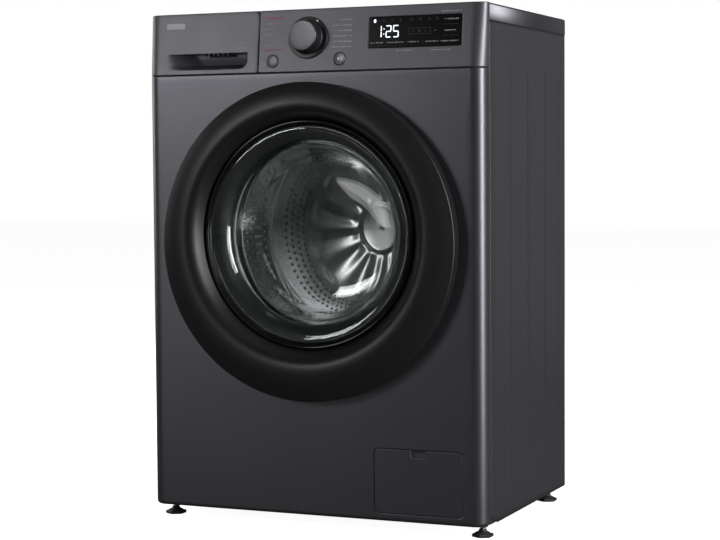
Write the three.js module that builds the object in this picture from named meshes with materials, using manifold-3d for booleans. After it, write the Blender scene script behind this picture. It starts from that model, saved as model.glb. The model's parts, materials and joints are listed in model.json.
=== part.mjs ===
// Front load washing machine, slim depth, direct drive.
// Millimetres, +Z up, +X to the right of someone facing the door, +Y towards the back.
// Inside this file Y = 0 is the plane of the front panel and Z = 0 is the floor.
// The whole machine is moved at the end so that its box is centred on the Z axis.

import * as THREE from 'three';
import { mergeVertices } from 'three/addons/utils/BufferGeometryUtils.js';
import Module from 'manifold-3d';

const wasm = await Module();
wasm.setup();

// ---- driving dimensions ----
const WIDTH = 600;
const HEIGHT = 850;
const BODY_DEPTH = 440;           // front panel to the rear edge of the top cover
const DOOR_PROUD = 35;            // crest of the door ring ahead of the front panel
const FOOT_HEIGHT = 22;           // floor to the bottom edge of the cabinet
const CONSOLE_SEAM = 748;         // joint between front panel and control panel
const CONSOLE_LEAN = 12;          // the control panel's top edge leans back by this much
const EDGE_RADIUS = 22;           // rounded vertical edges at the front
const WRAP = 29;                  // how far the front parts reach round the sides
const REAR_OVERHANG = 13;         // top cover beyond the rear panel
const COVER_SKIRT = 28;           // height of the top cover's rim
const SHEET = 1.2;                // steel sheet
const MOULDING = 2.5;             // plastic wall
const GAP = 0.4;                  // between pieces that touch
const DRUM_Z = 484;               // height of the drum's axis
const DOOR_Z = 471.5;             // centre of the door's outer rim, below the drum's axis
const DOOR_RADIUS = 259;
const DOOR_LIP_RADIUS = 187.5;
const GLASS_RADIUS = 175;
const DRUM_RADIUS = 236;
const TUB_RADIUS = 256;
const DRAWER_EDGE = -92;          // joint between drawer front and control panel

// ---- derived places ----
const HALF = WIDTH / 2;
const CENTRE_Y = (BODY_DEPTH - DOOR_PROUD) / 2;
const BODY_BACK = BODY_DEPTH - REAR_OVERHANG;
const COVER_BOTTOM = HEIGHT - COVER_SKIRT;
const REAR_SHEET_Y = BODY_BACK - SHEET - GAP;       // rear face of the rear panel
const LEAN_ANGLE = Math.atan(CONSOLE_LEAN / (HEIGHT - CONSOLE_SEAM));
const FINE = 36;                  // steps round a full turn, from the finest pieces to the smallest
const ROUND = 32;
const MEDIUM = 24;
const COARSE = 16;
const SMALL = 10;

// ---- solids ----

// A closed geometry with its shared corners merged, as a solid that faces outwards.
function solid(geometry) {
  const bare = geometry.clone();
  bare.deleteAttribute('normal');
  bare.deleteAttribute('uv');
  const welded = mergeVertices(bare, 1e-4);
  const corners = welded.index.array;
  const kept = [];
  for (let i = 0; i < corners.length; i += 3) {
    const [a, b, c] = [corners[i], corners[i + 1], corners[i + 2]];
    if (a !== b && b !== c && c !== a) kept.push(a, b, c);
  }
  const build = (order) => new wasm.Manifold(new wasm.Mesh({
    numProp: 3, vertProperties: welded.attributes.position.array, triVerts: new Uint32Array(order),
  }));
  const made = build(kept);
  return made.volume() > 0 ? made : build(kept.reverse());
}

function geometryOf(shape) {
  const mesh = shape.getMesh();
  const geometry = new THREE.BufferGeometry();
  geometry.setAttribute('position', new THREE.BufferAttribute(new Float32Array(mesh.vertProperties), 3));
  geometry.setIndex(new THREE.BufferAttribute(new Uint32Array(mesh.triVerts), 1));
  geometry.computeVertexNormals();
  return geometry;
}

const join = (...shapes) => shapes.reduce((all, shape) => all.add(shape));
const cut = (shape, ...tools) => tools.reduce((rest, tool) => rest.subtract(tool), shape);

function box([x0, x1], [y0, y1], [z0, z1]) {
  const geometry = new THREE.BoxGeometry(x1 - x0, y1 - y0, z1 - z0);
  return solid(geometry.translate((x0 + x1) / 2, (y0 + y1) / 2, (z0 + z1) / 2));
}

// A cylinder along 'y' or 'z' from one end to the other, about the point (u, v) across it.
function rod(axis, [from, to], radius, [u, v], segments = SMALL) {
  const geometry = new THREE.CylinderGeometry(radius, radius, to - from, segments);
  const middle = (from + to) / 2;
  if (axis === 'y') geometry.translate(u, middle, v);
  if (axis === 'z') geometry.rotateX(Math.PI / 2).translate(u, v, middle);
  return solid(geometry);
}

// A profile of [radius, y] turned about the Y axis. It closes on itself or ends on the axis.
function turned(profile, segments = FINE) {
  const points = profile.map(([r, y]) => new THREE.Vector2(r, y));
  if (profile[0][0] > 0 || profile.at(-1)[0] > 0) points.push(points[0].clone());
  return solid(new THREE.LatheGeometry(points, segments));
}

// The closed outline of a strip of even thickness along a centre line, with mitred bends.
function strip(line, thickness) {
  const points = line.map(([x, y]) => new THREE.Vector2(x, y));
  const normals = points.slice(1).map((point, i) => {
    const along = point.clone().sub(points[i]).normalize();
    return new THREE.Vector2(-along.y, along.x);
  });
  const offsets = points.map((_, i) => {
    const before = normals[Math.max(i - 1, 0)];
    const after = normals[Math.min(i, normals.length - 1)];
    const mitre = before.clone().add(after).normalize();
    return mitre.multiplyScalar(thickness / 2 / mitre.dot(after));
  });
  const left = points.map((point, i) => point.clone().add(offsets[i]).toArray());
  const right = points.map((point, i) => point.clone().sub(offsets[i]).toArray());
  return [...left, ...right.reverse()];
}

const outline = (points) => new THREE.Shape(points.map(([x, y]) => new THREE.Vector2(x, y)));

// A plan outline in (x, y) raised from one height to another.
function raised(shape, [z0, z1], curveSegments = 6) {
  const geometry = new THREE.ExtrudeGeometry(shape, { depth: z1 - z0, bevelEnabled: false, curveSegments });
  return solid(geometry.translate(0, 0, z0));
}

// A front view outline in (x, z) carried along Y.
function carried(shape, [y0, y1], curveSegments = 6) {
  const geometry = new THREE.ExtrudeGeometry(shape, { depth: y1 - y0, bevelEnabled: false, curveSegments });
  return solid(geometry.rotateX(Math.PI / 2).translate(0, y1, 0));
}

function roundedRectangle([x0, x1], [z0, z1], radius) {
  const shape = new THREE.Shape();
  shape.moveTo(x0 + radius, z0);
  shape.lineTo(x1 - radius, z0);
  shape.absarc(x1 - radius, z0 + radius, radius, -Math.PI / 2, 0);
  shape.absarc(x1 - radius, z1 - radius, radius, 0, Math.PI / 2);
  shape.absarc(x0 + radius, z1 - radius, radius, Math.PI / 2, Math.PI);
  shape.absarc(x0 + radius, z0 + radius, radius, Math.PI, Math.PI * 1.5);
  return shape;
}

// A sector of a flat ring about the origin, in the front view.
function ringSector(inner, outer, from, to) {
  const shape = new THREE.Shape();
  shape.absarc(0, 0, outer, from, to, false);
  shape.absarc(0, 0, inner, to, from, true);
  return shape;
}

// A round tube along a smooth curve through the points.
function hose(points, radius, steps, sides = 8) {
  const curve = new THREE.CatmullRomCurve3(points.map((point) => new THREE.Vector3(...point)));
  const section = new THREE.Shape().absarc(0, 0, radius, 0, Math.PI * 2);
  return solid(new THREE.ExtrudeGeometry(section, {
    steps, extrudePath: curve, curveSegments: sides / 2, bevelEnabled: false,
  }));
}

// ---- the scene graph ----
const machine = new THREE.Group();
machine.position.y = -CENTRE_Y;

function group(parent, x = 0, y = 0, z = 0) {
  const made = new THREE.Group();
  made.position.set(x, y, z);
  parent.add(made);
  return made;
}

function add(parent, name, shape, [color, roughness, metalness]) {
  const material = new THREE.MeshStandardMaterial({ color, roughness, metalness });
  const mesh = new THREE.Mesh(geometryOf(shape), material);
  mesh.name = name;
  parent.add(mesh);
}

// Colour, roughness and metalness of each finish.
const GREY_PAINT = [0x39393d, 0.38, 0.6];
const GREY_MOULDING = [0x3a3a3e, 0.42, 0.4];
const ZINC = [0x9a9c9e, 0.4, 0.9];
const BLACK_SATIN = [0x131315, 0.35, 0];
const BLACK_GLOSS = [0x08080a, 0.08, 0];
const BLACK_PLASTIC = [0x1c1c1e, 0.6, 0];
const WHITE_PLASTIC = [0xd9dadb, 0.5, 0];
const PALE_PLASTIC = [0xb9bcbf, 0.55, 0];
const CLEAR_GLASS = [0xcfe0dc, 0.03, 0];
const STAINLESS = [0xb8babc, 0.28, 1];
const ALUMINIUM = [0xa9abad, 0.45, 1];
const CONCRETE = [0x8b8a86, 0.95, 0];
const GREY_RUBBER = [0x5d5f61, 0.75, 0];
const BLACK_RUBBER = [0x18181a, 0.8, 0];
const COPPER_WINDING = [0x9a5a33, 0.45, 0.6];
const CIRCUIT_BOARD = [0x1f5a3a, 0.6, 0];
const BRIGHT_STEEL = [0xc3c5c7, 0.25, 1];

const cabinet = group(machine);
const door = group(machine, 0, 0, DRUM_Z);
const drumAxis = group(machine, 0, 0, DRUM_Z);
const consoleFace = group(machine, 0, 0, CONSOLE_SEAM);
consoleFace.rotation.x = -LEAN_ANGLE;

// ---- cabinet shell ----

// Plan of the front parts: flat face, rounded edges and short returns, inset from the outer surface.
function frontPlan(inset, back = WRAP) {
  const half = HALF - inset;
  const radius = EDGE_RADIUS - inset;
  const shape = new THREE.Shape();
  shape.moveTo(-half, back);
  shape.absarc(-half + radius, inset + radius, radius, Math.PI, Math.PI * 1.5);
  shape.absarc(half - radius, inset + radius, radius, -Math.PI / 2, 0);
  shape.lineTo(half, back);
  return shape;
}

const HATCH_X = [110, 263];
const HATCH_Z = [35, 140.5];
const HATCH_RADIUS = 8;
const DISH_RADIUS = 208;          // where the panel starts to slope into the door opening
const MOUTH_RADIUS = 187;         // lip that the gasket is clamped on
const DISH_FLOOR = [193, 16];     // radius and depth where the slope ends
const MOUTH_DEPTH = 23;           // depth of the lip's inner edge
const LATCH_SLOT = [9, 17];       // half width and half height
const LATCH_X = 222;
const PUMP_X = 186;
const PUMP_Z = 86;

function frontPanel() {
  const heights = [FOOT_HEIGHT, CONSOLE_SEAM - GAP];
  const shell = cut(raised(frontPlan(0), heights), raised(frontPlan(SHEET, WRAP + 1), [0, HEIGHT]));
  const hole = rod('y', [-5, 20], DISH_RADIUS - 1, [0, DRUM_Z], ROUND);
  const slope = [[DISH_RADIUS, SHEET / 2], DISH_FLOOR, [MOUTH_RADIUS, DISH_FLOOR[1]], [MOUTH_RADIUS, MOUTH_DEPTH]];
  const dish = turned(strip(slope, SHEET), ROUND);
  const hatchHole = carried(roundedRectangle(HATCH_X, HATCH_Z, HATCH_RADIUS), [-5, 5], 3);
  const [wide, high] = LATCH_SLOT;
  const latchSlot = box([LATCH_X - wide, LATCH_X + wide], [-5, 5], [DOOR_Z - high, DOOR_Z + high]);
  return join(cut(shell, hole, hatchHole, latchSlot), dish.translate([0, 0, DRUM_Z]));
}

const SPRING_X = 281;
const SPRING_Y = 150;
const SPRING_TOP = 740;

// Side sheet with a flange turned in at the front and at the back, and the tab that its spring hangs on.
function sidePanel(side) {
  const skin = HALF - SHEET / 2;
  const flange = HALF - 15;
  const front = WRAP + GAP + SHEET / 2;
  const back = BODY_BACK - SHEET / 2;
  const plan = [[flange, front], [skin, front], [skin, back], [flange, back]];
  const mirrored = strip(plan.map(([x, y]) => [side * x, y]), SHEET);
  const tabX = side > 0 ? [SPRING_X - 9, HALF - SHEET / 2] : [-HALF + SHEET / 2, -SPRING_X + 9];
  const tab = box(tabX, [SPRING_Y - 12, SPRING_Y + 12], [SPRING_TOP + GAP, SPRING_TOP + 4]);
  return join(raised(outline(mirrored), [FOOT_HEIGHT, COVER_BOTTOM - GAP]), tab);
}

const INLET = [-205, 790];
const DRAIN_OUTLET = [255, 700];
const MAINS_INLET = [225, 760];
const MOTOR_HOLE_RADIUS = 150;
const INLET_HOLE_RADIUS = 15;
const DRAIN_HOLE_RADIUS = 12.5;
const MAINS_HOLE_RADIUS = 7.5;

function rearPanel() {
  const reach = HALF - 3;
  const sheet = box([-reach, reach], [REAR_SHEET_Y - SHEET, REAR_SHEET_Y], [FOOT_HEIGHT + 2, COVER_BOTTOM - 1]);
  const through = [REAR_SHEET_Y - 5, REAR_SHEET_Y + 5];
  return cut(
    sheet,
    rod('y', through, MOTOR_HOLE_RADIUS, [0, DRUM_Z], MEDIUM),
    rod('y', through, INLET_HOLE_RADIUS, INLET),
    rod('y', through, DRAIN_HOLE_RADIUS, DRAIN_OUTLET),
    rod('y', through, MAINS_HOLE_RADIUS, MAINS_INLET),
  );
}

// Shallow pressed dish that closes the motor opening from outside.
function rearCover() {
  const base = REAR_SHEET_Y + GAP + SHEET / 2;
  const rim = MOTOR_HOLE_RADIUS + 14;
  return turned(strip([[rim, base], [rim - 16, base], [rim - 28, base + 8], [0, base + 8]], SHEET), MEDIUM)
    .translate([0, 0, DRUM_Z]);
}

const FOOT_X = 280;
const FOOT_FRONT_Y = 45;
const FOOT_REAR_Y = 384;
const FEET = [[-FOOT_X, FOOT_FRONT_Y], [FOOT_X, FOOT_FRONT_Y], [-FOOT_X, FOOT_REAR_Y], [FOOT_X, FOOT_REAR_Y]];
const STUD_RADIUS = 4;

// Shallow tray with a threaded boss over each foot.
function basePan() {
  const reach = HALF - SHEET - GAP;
  const [front, back] = [WRAP + SHEET + 2 * GAP, REAR_SHEET_Y - SHEET - GAP];
  const tray = cut(
    box([-reach, reach], [front, back], [FOOT_HEIGHT + 1, FOOT_HEIGHT + 14]),
    box([-reach + MOULDING, reach - MOULDING], [front + MOULDING, back - MOULDING], [FOOT_HEIGHT + 4, 60]),
  );
  const bosses = FEET.map((place) => rod('z', [FOOT_HEIGHT + 1, FOOT_HEIGHT + 24], 10, place));
  const threads = FEET.map((place) => rod('z', [0, 80], STUD_RADIUS + 0.6, place));
  return cut(join(tray, ...bosses), ...threads);
}

// Lid with a rim all round except at the front, where the control panel closes it.
function topCover() {
  const front = WRAP + GAP;
  const outer = box([-HALF, HALF], [front, BODY_DEPTH], [COVER_BOTTOM, HEIGHT]);
  const inner = box([-HALF + 2, HALF - 2], [front - 5, BODY_DEPTH - 2], [COVER_BOTTOM - 5, HEIGHT - 3]);
  return cut(outer, inner);
}

// Channel laid across the top edges of the side panels, under the top cover.
function crossBrace() {
  const reach = HALF - 3;
  const [front, back] = [180, 204];
  const [low, high] = [COVER_BOTTOM + 1, HEIGHT - 6];
  const section = strip([[front, low], [front, high], [back, high], [back, low]], SHEET);
  const geometry = new THREE.ExtrudeGeometry(outline(section), { depth: 2 * reach, bevelEnabled: false });
  geometry.rotateZ(Math.PI / 2).rotateY(Math.PI / 2);
  return solid(geometry.translate(-reach, 0, 0));
}

// ---- control panel and drawer ----

// Moves points back in proportion to their height above the seam, and leaves the back edge in place.
function leanedBack(shape) {
  const rise = HEIGHT - CONSOLE_SEAM;
  return shape.warp((point) => {
    point[1] += CONSOLE_LEAN * (point[2] / rise) * (1 - point[1] / WRAP);
  });
}

// The hollow wall of the control panel between two places across, upright and open at the back.
function consoleShell([x0, x1], wallEnd) {
  const rise = HEIGHT - CONSOLE_SEAM;
  const outer = raised(frontPlan(0), [0, rise]);
  const inner = raised(frontPlan(MOULDING, WRAP + 5), [MOULDING, rise - MOULDING]);
  const keep = box([x0, x1], [-5, WRAP + 5], [-5, rise + 5]);
  const wall = box(wallEnd, [0, WRAP], [0, rise]);
  return join(outer.subtract(inner).intersect(keep), wall.intersect(outer));
}

// Rises along the leaning face for a height above the floor.
const faceRise = (z) => (z - CONSOLE_SEAM) / Math.cos(LEAN_ANGLE);

const DISPLAY_X = [104, 262];
const DISPLAY_Z = [faceRise(782), faceRise(832.5)];
const KNOB_PLACE = [-3.4, faceRise(803)];
const KNOB_RADIUS = 34.5;
const SPINDLE_RADIUS = 4;
const BUTTON_RADIUS = 9.8;
const POWER_PLACE = [-65.5, faceRise(766.6)];
const START_PLACE = [54.5, faceRise(767.3)];

function consolePanel() {
  const shell = consoleShell([DRAWER_EDGE + GAP, HALF], [DRAWER_EDGE + GAP, DRAWER_EDGE + GAP + MOULDING]);
  const cutters = join(
    carried(roundedRectangle(DISPLAY_X, DISPLAY_Z, 2), [-5, 12], 2),
    rod('y', [-5, 12], SPINDLE_RADIUS + 1, KNOB_PLACE),
    rod('y', [-5, 12], BUTTON_RADIUS + GAP, POWER_PLACE, COARSE),
    rod('y', [-5, 12], BUTTON_RADIUS + GAP, START_PLACE, COARSE),
  );
  return leanedBack(shell).subtract(cutters.rotate([-LEAN_ANGLE * 180 / Math.PI, 0, 0]));
}

const displayWindow = () => carried(
  roundedRectangle([DISPLAY_X[0] + GAP, DISPLAY_X[1] - GAP], [DISPLAY_Z[0] + GAP, DISPLAY_Z[1] - GAP], 2),
  [0.2, 4], 2,
);

// Skirt, cone and grip in one moulding, with the spindle that turns the selector switch.
const knob = () => turned([
  [0, -24], [23.2, -24], [24.5, -22.6], [26, -4], [KNOB_RADIUS, -3], [KNOB_RADIUS, -GAP],
  [SPINDLE_RADIUS, -GAP], [SPINDLE_RADIUS, 14], [0, 14],
], COARSE);

const button = () => turned([[0, -1], [9.2, -1], [BUTTON_RADIUS, -0.3], [BUTTON_RADIUS, 5], [0, 5]], COARSE);

function controlBoard() {
  const board = box([-80, 280], [36, 38], [757, 838]);
  const modules = [
    box([100, 266], [26, 37], [775, 812]),
    box([-30, 24], [27, 37], [790, 826]),
    box([30, 90], [37, 52], [765, 830]),
    box([170, 230], [37, 60], [770, 805]),
  ];
  return join(board, ...modules);
}

const RECESS_TOP = 783 - CONSOLE_SEAM;
const RECESS_BOTTOM = 755 - CONSOLE_SEAM;
const RECESS_DEPTH = 19;

// Finger recess of the drawer front: wide at the top, with rounded lower corners.
function recessOutline(grow) {
  const shape = new THREE.Shape();
  shape.moveTo(-270 - grow, RECESS_TOP + grow);
  shape.lineTo(-262, RECESS_BOTTOM + 5 - grow);
  shape.quadraticCurveTo(-260, RECESS_BOTTOM - grow, -252, RECESS_BOTTOM - grow);
  shape.lineTo(-138, RECESS_BOTTOM - grow);
  shape.quadraticCurveTo(-124 + grow, RECESS_BOTTOM - grow, -122 + grow, RECESS_BOTTOM + 12);
  shape.lineTo(-114 + grow, RECESS_TOP + grow);
  return shape;
}

function drawerFront() {
  const shell = consoleShell([-HALF, DRAWER_EDGE - GAP], [DRAWER_EDGE - GAP - MOULDING, DRAWER_EDGE - GAP]);
  const cup = carried(recessOutline(MOULDING), [MOULDING / 2, RECESS_DEPTH + MOULDING], 3);
  const scoop = carried(recessOutline(0), [-5, RECESS_DEPTH], 3);
  return leanedBack(cut(join(shell, cup), scoop));
}

const TRAY_X = [-284, -104];
const TRAY_BACK = 286;
const TRAY_BOTTOM = 762;
const TRAY_TOP = 812;
const TRAY_WALLS = [-224, -160];

function drawerTray() {
  const walls = [TRAY_X[0], ...TRAY_WALLS, TRAY_X[1]];
  const rooms = walls.slice(1).map((right, i) => box(
    [walls[i] + (i ? 1 : 2), right - (i < 2 ? 1 : 2)], [WRAP + 4, TRAY_BACK - 2], [TRAY_BOTTOM + 2, HEIGHT],
  ));
  return cut(box(TRAY_X, [WRAP + GAP, TRAY_BACK], [TRAY_BOTTOM, TRAY_TOP]), ...rooms);
}

// Siphon insert that stands in the softener compartment.
function softenerCap() {
  const x = (TRAY_WALLS[0] + TRAY_WALLS[1]) / 2;
  const bottom = TRAY_BOTTOM + 2 + GAP;
  return join(
    box([x - 28, x + 28], [190, 280], [TRAY_TOP - 9, TRAY_TOP - 6]),
    cut(rod('z', [bottom, TRAY_TOP - 6], 9, [x, 255]), rod('z', [bottom - 1, TRAY_TOP - 12], 6, [x, 255])),
  );
}

const SPOUT = [-150, 250];        // X and Y of the floor spout
const SPOUT_RADIUS = 11;

// Water flows in through the roof and out through the floor spout; the tray slides in from the front.
function dispenserHousing() {
  const outer = box([-291, -97], [WRAP + 6, 330], [758, 818]);
  const inner = box([-288, -100], [WRAP, 327], [761, 815]);
  const spout = rod('z', [742, 760], SPOUT_RADIUS, SPOUT);
  const inlet = rod('y', [328, 345], 9, INLET);
  const passages = [rod('z', [735, 770], SPOUT_RADIUS - 3, SPOUT), rod('y', [320, 350], 6, INLET)];
  return cut(join(outer, spout, inlet), inner, ...passages);
}

// ---- water path ----

function inletValve() {
  const [x, z] = INLET;
  return join(
    box([x - 17, x + 17], [388, REAR_SHEET_Y - SHEET - GAP], [z - 14, z + 20]),
    rod('y', [370, 395], 9, [x, z]),
    rod('y', [REAR_SHEET_Y - 8, BODY_DEPTH - 4], 13, [x, z]),
    rod('z', [z + 18, z + 27], 9, [x, 402]),
  );
}

const fillHose = () => hose([[...SPOUT, 741.5], [...SPOUT, 722], [...SPOUT, 702]], SPOUT_RADIUS, 5);
const sumpHose = () => hose([
  [70, 150, 226], [72, 150, 200], [110, 140, 176], [165, 127, 172], [PUMP_X, 126, 146], [PUMP_X, 126, 125.5],
], 15, 14);

const DRAIN_BRANCH = 22;          // the drain branch leaves this far right of the pump's axis and below it

function drainPump() {
  const [x, z] = [PUMP_X, PUMP_Z];
  const branch = [x + DRAIN_BRANCH, z - DRAIN_BRANCH];
  const body = join(
    rod('y', [14, 108], 39, [x, z], COARSE),
    rod('y', [100, 165], 27, [x, z], COARSE),
    rod('z', [z + 20, z + 38], 16, [x, 126]),
    box([x - 30, x + 30], [42, 98], [FOOT_HEIGHT + 4 + GAP, z - 20]),
    rod('y', [92, 180], 9, branch, 8),
  );
  return cut(body, rod('y', [0, 78], 32, [x, z], COARSE));
}

const drainHose = () => hose([
  [PUMP_X + DRAIN_BRANCH, 181.5, PUMP_Z - DRAIN_BRANCH], [PUMP_X + DRAIN_BRANCH, 200, PUMP_Z - DRAIN_BRANCH],
  [PUMP_X + 34, 240, 58], [258, 330, 56],
  [280, 388, 90], [281, 404, 300], [281, 400, 560], [276, 392, 660], [DRAIN_OUTLET[0], 402, DRAIN_OUTLET[1]],
  [DRAIN_OUTLET[0], 420.5, DRAIN_OUTLET[1]],
], 10, 28);

// Flanged grommet in the rear panel.
function grommet(radius, [x, z]) {
  const collar = join(
    rod('y', [REAR_SHEET_Y - SHEET - GAP - 2, REAR_SHEET_Y + 6], radius - GAP, [x, z]),
    rod('y', [REAR_SHEET_Y + GAP, REAR_SHEET_Y + 3], radius + 4, [x, z]),
  );
  return cut(collar, rod('y', [REAR_SHEET_Y - 1, BODY_DEPTH], radius - 3.5, [x, z]));
}

// ---- door ----

const HINGE_X = -247;
const HINGE_Y = -19.5;
const HINGE_Z = DOOR_Z - DRUM_Z;  // height of the hinge's middle above the drum's axis
const PIN_RADIUS = 2.5;
const ARM = [36, 42];             // height range of a hinge arm from the hinge's middle
const KNUCKLE = 35;               // half the height of the door's knuckle
const DOOR_WALL = 3;

// Shell of revolution whose inner edge sits higher than its rim: each point rises with its distance
// from the rim.
function doorRing() {
  const profile = strip([
    [DOOR_RADIUS - 1.5, -2.5], [DOOR_RADIUS - 1.5, -23.8], [237, -29.8], [215, -33.46], [203, -29],
    [192, -17], [DOOR_LIP_RADIUS + 1.5, -8],
  ], DOOR_WALL);
  const span = DOOR_RADIUS - DOOR_LIP_RADIUS;
  const shell = turned(profile).warp((point) => {
    point[2] += HINGE_Z * (1 - (DOOR_RADIUS - Math.hypot(point[0], point[2])) / span);
  });
  const hingeRelief = box([-270, HINGE_X + 30], [-17, 5], [HINGE_Z - 86, HINGE_Z + 86]);
  return shell.subtract(hingeRelief);
}

// Inner frame: carries the glass, the hinge knuckle and the latch.
function doorFrame() {
  const plate = turned(strip([[249, -5], [205, -5], [194, 5], [182, 5], [182, -7]], DOOR_WALL), ROUND);
  const moved = plate.warp((point) => {
    const outward = Math.max(0, Math.hypot(point[0], point[2]) - 205) / 45;
    point[2] += HINGE_Z * Math.min(outward, 1);
  });
  const hingeBay = box([-260, -212], [-20, 5], [HINGE_Z - 50, HINGE_Z + 50]);
  const latchBay = box([LATCH_X - 7, LATCH_X + 7], [-20, 5], [HINGE_Z - 14, HINGE_Z + 14]);
  const knuckle = join(
    box([HINGE_X, -207], [HINGE_Y - 3.5, HINGE_Y + 3.5], [HINGE_Z - KNUCKLE, HINGE_Z + KNUCKLE]),
    rod('z', [HINGE_Z - KNUCKLE, HINGE_Z + KNUCKLE], 4.6, [HINGE_X, HINGE_Y]),
    box([-213, -207], [HINGE_Y - 3.5, -4], [HINGE_Z - KNUCKLE, HINGE_Z + KNUCKLE]),
  );
  const pinHole = rod('z', [HINGE_Z - 60, HINGE_Z + 60], PIN_RADIUS + 0.1, [HINGE_X, HINGE_Y], COARSE);
  return cut(join(cut(moved, hingeBay, latchBay), knuckle), pinHole);
}

const GLASS_WALL = 5;

// Bowl: bevelled rim, sloping shoulder and a deep dome that reaches into the drum's mouth.
const doorGlass = () => turned(strip([
  [GLASS_RADIUS - 1, -11], [158, -3], [147, 12], [141, 45], [131, 82], [108, 98], [0, 104],
], GLASS_WALL), ROUND);

// Zinc bracket with two arms that hold the pin ahead of the panel.
function hingeBracket() {
  const plate = box([-232, -214], [-3.4, -GAP], [HINGE_Z - 47, HINGE_Z + 47]);
  const arms = [ARM, [-ARM[1], -ARM[0]]].map(([low, high]) => {
    const heights = [HINGE_Z + low, HINGE_Z + high];
    return join(
      box([HINGE_X, -222], [HINGE_Y - 3, HINGE_Y + 3], heights),
      rod('z', heights, 4.4, [HINGE_X, HINGE_Y]),
      box([-231, -222], [HINGE_Y - 3, -1], heights),
    );
  });
  const pinHole = rod('z', [HINGE_Z - 60, HINGE_Z + 60], PIN_RADIUS + 0.1, [HINGE_X, HINGE_Y], COARSE);
  return cut(join(plate, ...arms), pinHole);
}

const hingePin = () => rod('z', [HINGE_Z - 43, HINGE_Z + 43], PIN_RADIUS, [HINGE_X, HINGE_Y], COARSE);

// Hook that turns about a pin in the door and snaps behind the lock's edge.
const LATCH_PIVOT_Y = -12;
function latchHook() {
  const hook = [
    [-3.5, LATCH_PIVOT_Y - 5], [3.5, LATCH_PIVOT_Y - 5], [3.5, 8], [7.5, 11], [3.5, 19], [-1, 19], [-3.5, 12],
  ];
  return raised(outline(hook), [HINGE_Z - 9, HINGE_Z + 9]).translate([LATCH_X, 0, 0]);
}

function doorLock() {
  const body = box([LATCH_X - 12, LATCH_X + 24], [SHEET + GAP, 26], [HINGE_Z - 34, HINGE_Z + 34]);
  return cut(body, box([LATCH_X - 9, LATCH_X + 12], [-1, 23], [HINGE_Z - 15, HINGE_Z + 15]));
}

// ---- tub, drum and drive ----

// Bellows between the panel's lip and the mouth of the tub, with a soft lip that closes on the glass.
const doorGasket = () => turned(strip([
  [183.5, 26], [183.5, 14], [161, 17], [178, 31], [178, 38], [165, 41], [165, 47],
], 2.4), MEDIUM);

const TUB_FRONT_Y = 48;
const TUB_JOINT_Y = 196;
const TUB_BACK_Y = 350;
const TUB_WALL = 3;
const TUB_FLANGE = 7;             // reach of the flange where the two halves meet
const HUB_RADIUS = 33;            // bearing hub of the tub
const SPRING_LUG_Z = 600 - DRUM_Z;
const DAMPER_X = 168;
const DAMPER_Y = 205;

function tubFront() {
  return turned(strip([
    [168, TUB_FRONT_Y], [168, 58], [205, 56], [TUB_RADIUS - 8, 64], [TUB_RADIUS - TUB_WALL / 2, 74],
    [TUB_RADIUS - TUB_WALL / 2, TUB_JOINT_Y], [TUB_RADIUS + TUB_FLANGE, TUB_JOINT_Y],
  ], TUB_WALL), MEDIUM);
}

// A lug that stands on the tub's wall, for a spring or a damper.
function tubLug(x, y, z, reach) {
  return box([Math.min(x, reach), Math.max(x, reach)], [y - 8, y + 8], [z - 16, z]);
}

function tubRear() {
  const joint = TUB_JOINT_Y + TUB_WALL + GAP;
  const middle = TUB_RADIUS - TUB_WALL / 2;
  const shell = turned(strip([
    [TUB_RADIUS + TUB_FLANGE, joint], [middle, joint], [middle, TUB_BACK_Y - 14],
    [TUB_RADIUS - 16, TUB_BACK_Y], [HUB_RADIUS, TUB_BACK_Y], [HUB_RADIUS, TUB_BACK_Y + 34],
  ], TUB_WALL), MEDIUM);
  const springLugs = [-1, 1].map((side) => tubLug(side * (SPRING_X + 8), 212, SPRING_LUG_Z, side * 226));
  const damperLugs = [-1, 1].map((side) => box(
    [side * DAMPER_X - 11, side * DAMPER_X + 11], [DAMPER_Y, DAMPER_Y + 22], [-232, -190],
  ));
  const inside = rod('y', [joint - 9, TUB_BACK_Y - 12], TUB_RADIUS - 2, [0, 0], MEDIUM);
  return join(shell, ...[...springLugs, ...damperLugs].map((lug) => lug.subtract(inside)));
}

const counterweight = (from, to) => carried(
  ringSector(194, 250, from * Math.PI / 180, to * Math.PI / 180), [28, 50], 10,
);

// U-shaped element in the sump between drum and tub.
function heater() {
  const radius = (DRUM_RADIUS + TUB_RADIUS - TUB_WALL) / 2;
  const angle = 0.09;             // half the angle between the legs, about the drum's axis
  const leg = (side, y) => [side * radius * Math.sin(angle), y, -radius * Math.cos(angle)];
  return hose([
    leg(-1, 84), leg(-1, 140), leg(-1, 240), leg(-0.8, 262), leg(0, 270), leg(0.8, 262), leg(1, 240),
    leg(1, 140), leg(1, 84),
  ], 3.2, 22, 6);
}

const BEARING_RADIUS = 30.8;
const SHAFT_RADIUS = 12.5;
const BORE_RADIUS = SHAFT_RADIUS + 0.35;
const bearing = (y) => turned([
  [BORE_RADIUS, y], [BEARING_RADIUS, y], [BEARING_RADIUS, y + 11], [BORE_RADIUS, y + 11],
], COARSE);

const POLES = 9;

// Laminated ring with wound poles round the bearing hub.
function motorStator() {
  const poles = [];
  for (let i = 0; i < POLES; i += 1) {
    const pole = box([52, 104], [361, 377], [-9, 9]);
    poles.push(pole.rotate([0, 360 * i / POLES, 0]));
  }
  const core = turned([[36, 363], [60, 363], [60, 375], [36, 375]], MEDIUM);
  return join(core, ...poles);
}

const motorRotor = () => turned(strip([
  [114, 356], [114, 388], [60, 391], [SHAFT_RADIUS + 3, 391],
], 3), MEDIUM);

const DRUM_FRONT_Y = 72;
const DRUM_BACK_Y = 318;

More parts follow.
